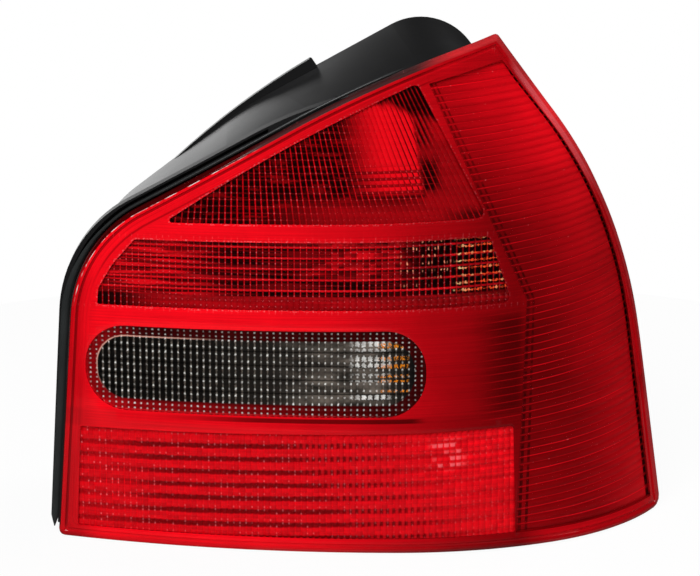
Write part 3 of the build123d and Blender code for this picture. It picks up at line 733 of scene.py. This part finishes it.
def lower_optic_red(start, x, _, z):
    """Bright red pillows between dark red stripes that break into beads outboard."""
    column = x / FLUTE_PITCH
    row = (z - LOWER_STRIPE - LOWER_SLOPE * (x - LOWER_LEFT)) / LOWER_ROW
    line = column.crease().step(0.66, 0.94)
    drift = start.noise(column / 7, 5, row * 0.8)
    cell = start.chance(column.whole(), (row * 2).whole())
    fleck = start.chance((column + 0.5).whole(), (row * 4).whole(), 3)
    streak = start.noise(x / 40, 8, z / 0.8)
    reach = x + 0.8 * (z + 64)
    outboard = reach.step(-30, 20)
    ragged = row.crease() + 0.34 * (drift - 0.5) + 0.10 * (cell - 0.5)
    stripe = ragged.step(0.48, 0.78) * (1 - 0.80 * outboard) * z.fall(-62.5, -60)
    bead = (1 - column.crease()).step(0.30, 0.75) * reach.within(-62, -42, -18, 10)
    stripe = stripe * (1 - 0.70 * bead)
    gap = x.fall(-138, -112) * x.step(-158, -146) * z.within(-104, -96, -80, -72)
    stripe = stripe * (1 - gap * (0.35 + 0.65 * line)) * (0.60 + 0.40 * x.step(-150, -120))
    level = 0.70 + 0.02 * outboard + 0.40 * (streak - 0.5) + 0.18 * (cell - 0.5) + 0.10 * line
    level = level * (1 - 0.70 * stripe)
    lit_end = x.step(6, 26) * z.step(-96, -66)
    pillow = (1 - (row * 2).crease()).step(0.25, 0.70) * (1 - line)
    level = level + 0.30 * lit_end * pillow * (0.4 + 0.6 * cell)
    mark = (row * 2 + 0.3).crease().step(0.60, 0.92).over((row - 0.10).crease().step(0.72, 0.92))
    spark = line * mark * fleck.step(0.45, 0.95)
    spark = spark * (0.75 + 0.5 * x.fall(-152, -136)) * (1 - 0.60 * x.step(-60, 10))
    flare = x.within(16, 22, 31, 38) * z.within(-78, -74, -63, -60)
    flare = flare * pillow * cell.step(0.35, 0.8)
    return (0.55 * spark + 0.5 * flare).blend(level.red(), PINK_GLINT)


def side_flute_red(start, x, y, z):
    """Deep red wrap-round side with thin bright lines, and painted light that is brightest along its rim
    and at the top.
    """
    sway = 0.9 * (start.noise(x / 40, 2, z / 14) - 0.5)
    row = (flute_level(x, z) + sway) / SIDE_ROW
    turn = (row + 0.5).whole()
    weight = start.chance(turn, 1)
    drift = start.noise(x / 24, turn * 0.71, 1)
    cloud = start.noise(x / 34, 9, z / 20)
    line = row.crease().step(0.80, 0.97)
    rim = y.step(-98, -54)
    foot = z.fall(-95, -30)
    # Painted light: lighter along the outboard rim and towards the top, and a little lighter at the foot
    level = 0.13 + 0.10 * foot + rim * (0.30 + 0.20 * z.step(0, 70))
    level = level + z.step(40, 110) * (0.20 + 0.40 * rim)
    level = level * (1 + 0.6 * (cloud - 0.5) + 0.35 * (drift - 0.5))
    level = level * (0.92 + 0.18 * (1 - row.crease()))
    bright = (0.42 + 0.45 * weight) * (0.55 + 0.9 * drift)
    level = level.over(line * (bright + 0.20 * z.step(0, 118)))
    spark = line * start.noise(x / 2, turn * 1.3, 4).step(0.66, 0.76)
    return (0.35 * spark).blend(level.red(), PINK_GLINT)


def side_dash_red(start, x, y, z):
    """Dark strip along the flutes' ends, crossed by their bright lines."""
    row = flute_level(x, z) / SIDE_ROW
    line = row.crease().step(0.60, 0.84)
    broken = start.chance((row + 0.5).whole(), 3).step(0.1, 0.5)
    inboard = y.fall(-84, -74)
    level = 0.008 + 0.05 * (1 - broken) + inboard * (0.06 + 0.12 * z.step(30, 100))
    return level.over((0.30 + 0.25 * z.step(20, 110)) * line).red()


def window_optic_grey(start, x, _, z):
    """Smoke-looking grid behind the clear window: dark red bevel, painted light with amber and white glints
    by the bulb, painted shade outboard.
    """
    across, up = x - PILL_CENTRE[0], z - PILL_CENTRE[1]
    column = across / PILL_PITCH
    row = up / PILL_ROW + 0.5
    ripple = 0.7 * (start.noise(x / 1.1, 33, z / 1.1) - 0.5)
    line = (column + 0.4 * ripple).crease().step(0.60, 0.92)
    bar = row.crease().step(0.82, 0.96)
    dot = (row * 2 + 0.5 + 0.5 * ripple).crease().step(0.54, 0.94)
    drift = start.noise(column / 5, 1.5, row * 1.5)
    cell = start.chance((column + 0.5).whole(), (row * 2).whole())
    # Painted light: warm grey where the bulb lights the grid inboard of it
    lit = x.step(-62, -30) * x.fall(-10, 2)
    grey = 0.007 + 0.26 * lit * drift.step(0.22, 0.78) + 0.018 * x.step(-110, -60)
    grey = grey.over(line * (0.10 + 0.16 * cell)) * (1 - 0.7 * bar)
    spot = line * dot * (0.25 + 0.75 * cell) * (1 - bar)
    colour = spot.blend(grey.blend(BLACK, WARM_GREY), WHITE_GLINT)
    level = z + 1.6 * (start.noise(x / 1.5, 31, z / 1.5) - 0.5)
    wide = (1 - (column + 0.5 + ripple).crease()).step(0.22, 0.48)
    flare = bands(level, (-13.6, -8.4), (-20.9, -19), (-24, -22.4), (-40.2, -38.4))
    flare = flare.over(0.6 * bands(level, (-16, -15), (-28.1, -27.6), (-31.3, -30.8)))
    flare = flare * wide * x.within(-24, -16, -5, 0) * (0.50 + 0.50 * cell)
    colour = flare.blend(colour, WHITE_GLINT)
    # Painted shade: the grid outboard of the bulb is painted near black, apart from its white glints
    outboard_shade = x.step(1, 8)
    colour = (0.85 * outboard_shade * (1 - spot)).blend(colour, SHADE_GREY)
    small_glint = bands(level, (-14.4, -12.2), (-20.6, -19), (-24.6, -23))
    small_glint = small_glint.over(bands(level, (-29, -28.2), (-31.6, -30.9), (-36.6, -35.8)))
    tongue = start.noise(x, 35, z).step(0.40, 0.58)
    small_glint = small_glint * wide * tongue * x.within(-9, -6.5, 6, 8)
    colour = small_glint.blend(colour, AMBER_GLINT)
    reach_x = (abs(across) - PILL_FLAT[0]).over(0)
    reach_z = (abs(up) - PILL_FLAT[1]).over(0)
    edge = PILL_RADIUS - start.maths("SQRT", reach_x * reach_x + reach_z * reach_z)
    bezel = edge.fall(PILL_BEZEL - 0.8, PILL_BEZEL)
    inboard = x.fall(-150, -122)
    under = z.fall(-46, -42)
    tint = 0.020 + 0.05 * drift + 0.20 * inboard + 0.20 * under * x.fall(-120, 10)
    tint = tint + 0.25 * edge.fall(0.2, 1.2) * x.fall(-60, 10)
    # Painted highlights: white glints along the bezel's lines
    bezel_glints = line * (z / 2.4).crease().step(0.45, 0.9) * (0.3 + 0.7 * cell)
    colour = bezel.blend(colour, (0.75 * bezel_glints).blend(tint.red(), WHITE_GLINT))
    # Painted highlight: a pink line on the lip of the bezel, inboard and high
    lip_highlight = edge.within(PILL_BEZEL - 0.9, PILL_BEZEL - 0.6, PILL_BEZEL - 0.2, PILL_BEZEL + 0.1)
    lip_highlight = lip_highlight * x.fall(-120, -80) * z.step(-42, -20)
    return (0.7 * lip_highlight).blend(colour, LIP_HIGHLIGHT_PINK)


def clear_skin(name, tint):
    """Polished outer surface that the optics are seen through."""
    material, start = surface(name, Base_Color=tint, IOR=1.6, Alpha=0.06)
    x, _, z = place_mm(start)
    feed(material, Roughness=0.02 + 0.04 * start.noise(x / 30, 0, z / 30))
    return material


def housing_black():
    """Satin black moulded plastic with a fine grain and a slight crown from front to rear."""
    material, start = surface("housing_black", Specular_IOR_Level=0.45)
    _, y, _ = place_mm(start)
    grain = mottle(start, 0.55, 3)
    cloud = mottle(start, 34)
    colour = (grain * 0.5 + cloud * 0.5).blend((0.006, 0.006, 0.0062, 1.0), (0.013, 0.013, 0.0135, 1.0))
    ahead = (0 - y).over(0)
    height = 0.02 * grain - HOUSING_CROWN * ahead * ahead
    feed(material, Base_Color=colour, Roughness=0.24 + 0.08 * cloud + 0.06 * grain,
         Normal=bump(start, height, 1.0, MM))
    return material


def lip_black():
    """Greyer moulded edge that the lens sits in."""
    material, start = surface("lip_black", Specular_IOR_Level=0.4)
    cloud = mottle(start, 18)
    feed(material, Base_Color=cloud.blend((0.014, 0.016, 0.016, 1.0), (0.028, 0.031, 0.031, 1.0)),
         Roughness=0.30 + 0.08 * cloud)
    return material


def foam_black():
    """Closed-cell foam."""
    material, start = surface("foam_black", Roughness=0.9)
    pores = mottle(start, 0.8, 4)
    feed(material, Base_Color=pores.blend((0.012, 0.012, 0.012, 1.0), (0.05, 0.05, 0.05, 1.0)),
         Normal=bump(start, pores, 0.6, 0.0006))
    return material


def carrier_grey():
    """Pale moulded plastic of the bulb carrier."""
    material, start = surface("carrier_grey", IOR=1.5)
    grain = mottle(start, 0.6, 3)
    cloud = mottle(start, 28)
    colour = (0.7 * cloud + 0.3 * grain).blend((0.36, 0.36, 0.34, 1.0), (0.52, 0.52, 0.49, 1.0))
    feed(material, Base_Color=colour, Roughness=0.4 + 0.15 * cloud, Normal=bump(start, grain, 0.1, 0.0003))
    return material


def metal(name, dark, pale, rough):
    """Plated or stamped metal with fine rubbing marks and a slight tarnish."""
    material, start = surface(name, Metallic=1.0)
    x, y, z = place_mm(start)
    marks = start.noise(x / 0.4, y / 3, z / 0.4, 3)
    tarnish = mottle(start, 7)
    feed(material, Base_Color=(0.6 * tarnish + 0.4 * marks).blend(dark, pale),
         Roughness=rough + 0.2 * (marks - 0.5) + 0.15 * tarnish, Normal=bump(start, marks, 0.08, 0.0002))
    return material


def bulb_glass(name, tint):
    """Thin blown glass."""
    material, start = surface(name, Base_Color=tint, IOR=1.5, Alpha=0.35)
    feed(material, Roughness=0.02 + 0.05 * mottle(start, 9))
    return material


# Pieces


def frame_rings():
    """Rings of front-view points in the frame's mesh, from the lens outline inwards, with their depths."""
    groove = [(GROOVE_START - GROOVE_SLOPE, 0.0), (GROOVE_START, GROOVE_DEPTH),
              (GROOVE_END, GROOVE_DEPTH), (GROOVE_END + GROOVE_SLOPE, 0.0)]
    rings = [(lens_outline(-distance), inset) for distance, inset in EDGE_ROUND + groove]
    rings += [(subdivided(window, OUTLINE_STEP), WINDOW_EDGE) for window in WINDOWS.values()]
    return rings + [(subdivided(bevel, OUTLINE_STEP), 0.0) for bevel in BEVELS.values()]


def panel_points(outline):
    """Grid of front-view points on the plain panels, clear of the groove and the windows."""
    clear = rounded(LENS_CORNERS, LENS_RADII, -GROOVE_END - PANEL_GAP, LENS_ARC_STEP)
    holes = list(WINDOWS.values()) + list(BEVELS.values())
    points = []
    for x in levels(*span(outline, 0), PANEL_STEP, 1):
        for z in levels(*span(outline, 1), PANEL_STEP, 1):
            if inside((x, z), clear) and not any(inside((x, z), hole) for hole in holes):
                points.append((x, z))
    return points


def add_skirt(bm, outline):
    """Wall of the lens, from its rounded edge back to the housing."""
    near = [bm.verts.new(on_face(x, z, EDGE_RADIUS)) for x, z in outline]
    back = [Vector((x, min(face_y(x, z, SKIRT_DEPTH), LENS_END_Y), z)) * MM for x, z in outline]
    far = [bm.verts.new(spot) for spot in back]
    for step in range(len(outline)):
        after = (step + 1) % len(outline)
        bm.faces.new((near[step], near[after], far[after], far[step]))


def lens_frame(red):
    """Rim, dividers and plain panel of the lens with its rounded edge and skirt, open at every window."""
    rings = frame_rings()
    outline = rings[0][0]
    points, edges, depths = [], [], []
    for ring, inset in rings:
        first = len(points)
        points += [Vector(point) for point in ring]
        depths += [inset] * len(ring)
        edges += [(first + step, first + (step + 1) % len(ring)) for step in range(len(ring))]
    panel = panel_points(outline)
    points += [Vector(point) for point in panel]
    depths += [0.0] * len(panel)
    spots, _, faces, origins = delaunay_2d_cdt(points, edges, [], 0, 1e-5)[:4]
    bm = bmesh.new()
    edge_layer = bm.verts.layers.float.new(EDGE_DISTANCE)
    window_layer = bm.verts.layers.float.new(WINDOW_DISTANCE)
    edge_finder = distance_finder([outline])
    window_finder = distance_finder([WINDOWS[name] for name in FRAME_WINDOWS])
    verts = []
    for spot, sources in zip(spots, origins):
        inset = depths[sources[0]] if sources else 0.0
        vert = bm.verts.new(on_face(spot.x, spot.y, inset))
        vert[edge_layer] = edge_finder.find((spot.x, spot.y, 0.0))[2]
        vert[window_layer] = window_finder.find((spot.x, spot.y, 0.0))[2]
        verts.append(vert)
    for corners in faces:
        middle = sum((spots[corner] for corner in corners), Vector((0.0, 0.0))) / len(corners)
        if inside(middle, outline) and not any(inside(middle, hole) for hole in WINDOWS.values()):
            bm.faces.new([verts[corner] for corner in corners])
    bmesh.ops.delete(bm, geom=[vert for vert in bm.verts if not vert.link_faces], context="VERTS")
    add_skirt(bm, outline)
    bmesh.ops.remove_doubles(bm, verts=bm.verts[:], dist=1e-6)
    piece = new_piece("lens_frame", bm, [red], smooth_angle=40.0)
    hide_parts("red_lens")


def optic_sheet(name, outline, columns, rows, place, depth, look, wall):
    """Relief sheet behind a window, cut to its outline, with walls up to the window's edge."""
    bm = bmesh.new()
    flat_grid(bm, columns, rows, place)
    clip_to(bm, outline)
    raise_sheet(bm, depth, WINDOW_EDGE)
    return new_piece(name, bm, [painted(look, OPTIC_SHINE), wall], smooth_angle=60.0)


def upper_optic(wall):
    """Fanned flutes of the top chamber."""
    outline = WINDOWS["upper"]
    left, right = span(outline, 0)

    def fanned(column, z):
        return FAN_X + (column - FAN_X) * (1.0 - UPPER_FAN * (z - UPPER_FOOT)), z

    def depth(x, z):
        flute = FLUTE_RELIEF * crease(unfanned(x, z), FLUTE_PITCH) ** 2
        return OPTIC_INSET + flute + UPPER_RELIEF * crease(z, UPPER_ROW) ** 2

    columns = levels(left - FAN_SPARE[0], right + FAN_SPARE[1], FLUTE_PITCH)
    rows = levels(*span(outline, 1), UPPER_ROW)
    optic_sheet("upper_optic", outline, columns, rows, fanned, depth, upper_optic_red, wall)


def straight_optic(window, row_pitch, row_start, row_slope, relief, look, wall):
    """Upright flutes crossed by rows that may rise outboard."""
    outline = WINDOWS[window]
    left, right = span(outline, 0)
    low, high = span(outline, 1)

    def sloped(x, level):
        return x, row_start + level + row_slope * (x - left)

    def depth(x, z):
        level = z - row_start - row_slope * (x - left)
        flute = FLUTE_RELIEF * crease(x, FLUTE_PITCH) ** 2
        return OPTIC_INSET + flute + relief * crease(level, row_pitch) ** 2

    columns = levels(left, right, FLUTE_PITCH)
    rows = levels(low - row_start - row_slope * (right - left), high - row_start, row_pitch, 8)
    optic_sheet(f"{window}_optic", outline, columns, rows, sloped, depth, look, wall)


def side_boundary(z):
    """Inboard and outboard x of the fluted side at a level."""
    outline = WINDOWS["side"]
    found = []
    for (ax, az), (bx, bz) in zip(outline, outline[1:] + outline[:1]):
        if min(az, bz) <= z <= max(az, bz) and az != bz:
            found.append(ax + (z - az) / (bz - az) * (bx - ax))
    return min(found), max(found)


def across_side(share, level):
    """Point at a share of the way across the fluted side, along a flute."""
    z = level
    for _ in range(4):
        start, end = side_boundary(z)
        x = start + (end - start) * share
        z = level + side_tilt(x, level)
    return x, z


def side_rows(pitch, parts):
    """Levels of rows up the fluted side, with one just inside each end."""
    rows = [level for level in levels(SIDE_LOW, SIDE_HIGH, pitch, parts) if SIDE_LOW < level < SIDE_HIGH]
    return [SIDE_LOW + ROW_MARGIN] + rows + [SIDE_HIGH - ROW_MARGIN]


def upright_grid(x, z):
    """Point of a plain grid."""
    return x, z


def add_panel(bm, outline):
    """Flat plain sheet, cut to an outline."""
    part = bmesh.new()
    columns, rows = [levels(*span(outline, axis), PANEL_STEP, 1) for axis in (0, 1)]
    flat_grid(part, columns, rows, upright_grid)
    clip_to(part, outline)
    holder = bpy.data.meshes.new("panel")
    part.to_mesh(holder)
    part.free()
    bm.from_mesh(holder)
    bpy.data.meshes.remove(holder)


def side_flutes(wall):
    """Flutes that wrap round the corner and rise a little outboard."""
    middle = [step / SIDE_COLUMNS for step in range(4, SIDE_COLUMNS - 1)]
    shares = SIDE_INBOARD_SHARES + middle + SIDE_OUTBOARD_SHARES
    bm = bmesh.new()
    flat_grid(bm, shares, side_rows(SIDE_ROW, 6), across_side)
    dashed = {shares.index(share) for share in DASH_SHARES}
    for step, face in enumerate(bm.faces):
        if step % (len(shares) - 1) in dashed:
            face.material_index = 2

    def depth(x, z):
        return SIDE_INSET + SIDE_RELIEF * crease(z - side_tilt(x, z), SIDE_ROW) ** 3

    raise_sheet(bm, depth, WINDOW_EDGE)
    materials = [painted(side_flute_red, SIDE_SHINE), wall, painted(side_dash_red, SIDE_SHINE)]
    new_piece("side_flutes", bm, materials, smooth_angle=60.0)


def lens_skin():
    """Smooth polished surface over the red windows."""
    bm = bmesh.new()
    for name in ("upper", "band", "lower"):
        add_panel(bm, WINDOWS[name])
    shares = [step / SKIN_COLUMNS for step in range(SKIN_COLUMNS + 1)]
    flat_grid(bm, shares, side_rows(PANEL_STEP, 1), across_side)
    raise_sheet(bm, lambda x, z: SKIN_INSET)
    new_piece("lens_skin", bm, [clear_skin("red_skin", (0.02, 0.0, 0.0, 1.0))])


def window_optic(wall):
    """Stepped bevel and grid behind the clear pill window."""
    centre_x, centre_z = PILL_CENTRE
    half_row = PILL_ROW / 2

    def depth(x, z):
        reach_x = max(abs(x - centre_x) - PILL_FLAT[0], 0.0)
        reach_z = max(abs(z - centre_z) - PILL_FLAT[1], 0.0)
        edge = PILL_RADIUS - math.hypot(reach_x, reach_z)
        share = min(max(edge / PILL_BEZEL, 0.0), 1.0)
        bevel = PILL_EDGE_INSET + (PILL_INSET - PILL_EDGE_INSET) * share
        flute = FLUTE_RELIEF * crease(x - centre_x, PILL_PITCH) ** 2
        return bevel + flute + PILL_RELIEF * crease(z - centre_z + half_row, half_row) ** 2

    columns = [centre_x + level for level in levels(-PILL_SIZE[0] / 2, PILL_SIZE[0] / 2, PILL_PITCH)]
    rows = [centre_z + level for level in levels(-PILL_SIZE[1] / 2, PILL_SIZE[1] / 2, PILL_ROW, 8)]
    piece = optic_sheet("window_optic", WINDOWS["pill"], columns, rows, upright_grid, depth,
                        window_optic_grey, wall)
    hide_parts("window_lens")


def window_pane():
    """Smooth clear surface of the pill window."""
    bm = bmesh.new()
    add_panel(bm, WINDOWS["pill"])
    raise_sheet(bm, lambda x, z: SKIN_INSET)
    new_piece("window_pane", bm, [clear_skin("clear_skin", BLACK)])


def lip_bead(black):
    """Rounded bead along the housing's lip, flat and wide down the inboard side, run out at both ends."""
    outline = [(x, z) for x, z in lens_outline(BEAD_OUT) if x < BEAD_END_X and z > FOOT_Z + BEAD_RISE]
    path = [on_face(x, z, BEAD_DEPTH) for x, z in outline]
    last = len(path) - 1
    bm = bmesh.new()
    rings = []
    for step, spot in enumerate(path):
        along = (path[min(step + 1, last)] - path[max(step - 1, 0)]).normalized()
        side = along.cross(Vector((0.0, 1.0, 0.0))).normalized()
        front = side.cross(along)
        flat = min(max((BEAD_FLAT_TOP - spot.z / MM) / BEAD_FLAT_FADE, 0.0), 1.0)
        ends = min(1.0, BEAD_TIP + step / BEAD_RUN_IN, BEAD_TIP + (last - step) / BEAD_RUN_OUT)
        wide = (BEAD_RADIUS + BEAD_SPREAD * flat) * ends * MM
        tall = BEAD_RADIUS * ends * MM
        centre = spot + side * BEAD_SPREAD * flat * MM
        ring = []
        for turn in range(BEAD_SIDES):
            angle = math.tau * turn / BEAD_SIDES
            across, up = side * math.cos(angle) * wide, front * math.sin(angle) * tall
            ring.append(bm.verts.new(centre + across + up))
        rings.append(ring)
    for one, two in zip(rings, rings[1:]):
        for turn in range(BEAD_SIDES):
            after = (turn + 1) % BEAD_SIDES
            bm.faces.new((one[turn], one[after], two[after], two[turn]))
    bm.faces.new(rings[0])
    bm.faces.new(rings[-1])
    new_piece("lip_bead", bm, [black], smooth_angle=60.0)


def dress_solids():
    """Give each solid that stays in view its finish."""
    brass = metal("stamped_brass", (0.42, 0.27, 0.09, 1.0), (0.72, 0.52, 0.22, 1.0), 0.3)
    nickel = metal("nickel", (0.42, 0.40, 0.36, 1.0), (0.66, 0.63, 0.57, 1.0), 0.28)
    zinc = metal("zinc_plate", (0.38, 0.36, 0.28, 1.0), (0.62, 0.60, 0.50, 1.0), 0.32)
    mirror = metal("mirror_plate", (0.62, 0.62, 0.62, 1.0), (0.80, 0.80, 0.80, 1.0), 0.1)
    tungsten = metal("tungsten_wire", (0.16, 0.16, 0.17, 1.0), (0.30, 0.30, 0.31, 1.0), 0.4)
    finishes = {
        "housing": housing_black(), "bulb_carrier": carrier_grey(), "mounting_studs": zinc,
        "clear_bulb_glass": bulb_glass("clear_bulb_glass", (0.9, 0.9, 0.9, 1.0)),
        "amber_bulb_glass": bulb_glass("amber_bulb_glass", (0.9, 0.35, 0.03, 1.0))}
    finishes |= dict.fromkeys(("body_seal", "carrier_seal"), foam_black())
    finishes |= dict.fromkeys(("plug_blades", "feed_strips", "earth_strip", "socket_contacts"), brass)
    for chamber in ("upper", "band", "window", "lower"):
        finishes[f"{chamber}_reflector"] = mirror
        finishes[f"{chamber}_bulb_cap"] = nickel
        finishes[f"{chamber}_filament"] = tungsten
    for node, finish in finishes.items():
        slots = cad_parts[node].data.materials
        slots.clear()
        slots.append(finish)


# Stage


def ray_kinds(start):
    """Wires that are 1 for camera, glossy and transmission rays."""
    path = start.add("ShaderNodeLightPath").socket.node
    names = ("Is Camera Ray", "Is Glossy Ray", "Is Transmission Ray")
    return [Wire(start.tree, path.outputs[name]) for name in names]


def floor():
    """Pale round floor that looks white and keeps the lamp's shadow."""
    bm = bmesh.new()
    bmesh.ops.create_circle(bm, cap_ends=True, segments=96, radius=FLOOR_RADIUS)
    mesh = bpy.data.meshes.new("floor")
    bm.to_mesh(mesh)
    bm.free()
    disc = new_object("floor", mesh)
    disc.location = (*FLOOR_CENTRE, CAD_BOX[0].z - FLOOR_GAP)
    material, start = surface("floor_white", Base_Color=(0.9, 0.9, 0.9, 1.0), Roughness=0.9)
    camera_ray, glossy_ray, through_ray = ray_kinds(start)
    shown = start.maths("MINIMUM", camera_ray + glossy_ray + through_ray, 1.0)
    sockets = {"Color": WHITE, "Strength": 1.0 - 0.95 * glossy_ray}
    glow = start.add("ShaderNodeEmission", None, sockets)
    matt = Wire(start.tree, start.tree.nodes["Principled BSDF"].outputs[0])
    both = start.add("ShaderNodeMixShader", None, {0: shown * 0.93, 1: matt, 2: glow})
    start.tree.links.new(both.socket, start.tree.nodes["Material Output"].inputs[0])
    mesh.materials.append(material)


def studio():
    """Soft lamps, and a white surround that glossy surfaces see only low down, behind the inboard side."""
    lamps = [
        ("key", (-0.45, -1.15, 1.25), (1.0, 0.7), 24.0),
        ("side", (1.10, 0.10, 0.90), (0.8, 0.8), 2.0),
        ("back", (0.70, 0.45, 1.30), (0.8, 0.5), 6.0)]
    for name, spot, size, power in lamps:
        lamp = bpy.data.lights.new(name, "AREA")
        lamp.shape = "RECTANGLE"
        lamp.size, lamp.size_y = size
        lamp.energy = power
        holder = new_object(name, lamp)
        holder.location = spot
        aim = Vector(LAMP_AIM) - Vector(spot)
        holder.rotation_euler = aim.to_track_quat("-Z", "Y").to_euler()
    world = bpy.data.worlds.new("studio")
    bpy.context.scene.world = world
    world.use_nodes = True
    start = Wire(world.node_tree)
    x, y, z = split(start, start.add("ShaderNodeTexCoord"))
    behind = y.step(0.25, 0.75) * z.fall(0.12, 0.45) * x.fall(-0.20, -0.04)
    camera_ray, glossy_ray, through_ray = ray_kinds(start)
    mirrored = start.maths("MINIMUM", glossy_ray + through_ray, 1.0)
    strength = 0.25 + mirrored * (behind * 1.4 - 0.235)
    strength = strength.towards(1.0, camera_ray)
    background = world.node_tree.nodes["Background"]
    start.tree.links.new(strength.socket, background.inputs["Strength"])
    background.inputs["Color"].default_value = WHITE


def camera():
    """Camera at the photograph's place."""
    lens = bpy.data.cameras.new("camera")
    lens.sensor_width = SENSOR_WIDTH
    lens.lens = FOCAL_LENGTH
    holder = new_object("camera", lens)
    back = Vector((0.0, -math.cos(CAMERA_ELEVATION), math.sin(CAMERA_ELEVATION)))
    holder.location = Vector(CAMERA_TARGET) * MM + back * CAMERA_DISTANCE
    holder.rotation_euler = (-back).to_track_quat("-Z", "Y").to_euler()
    bpy.context.scene.camera = holder


wall_red = window_wall_red()
lens_frame(frame_red())
upper_optic(wall_red)
straight_optic("band", BAND_ROW, BAND_RUNG, 0.0, BAND_RELIEF, band_optic_red, wall_red)
straight_optic("lower", LOWER_ROW, LOWER_STRIPE, LOWER_SLOPE, LOWER_RELIEF, lower_optic_red, wall_red)
side_flutes(wall_red)
lens_skin()
window_optic(wall_red)
window_pane()
lip_bead(lip_black())
dress_solids()
floor()
studio()
camera()
bpy.context.scene.view_settings.view_transform = "Standard"
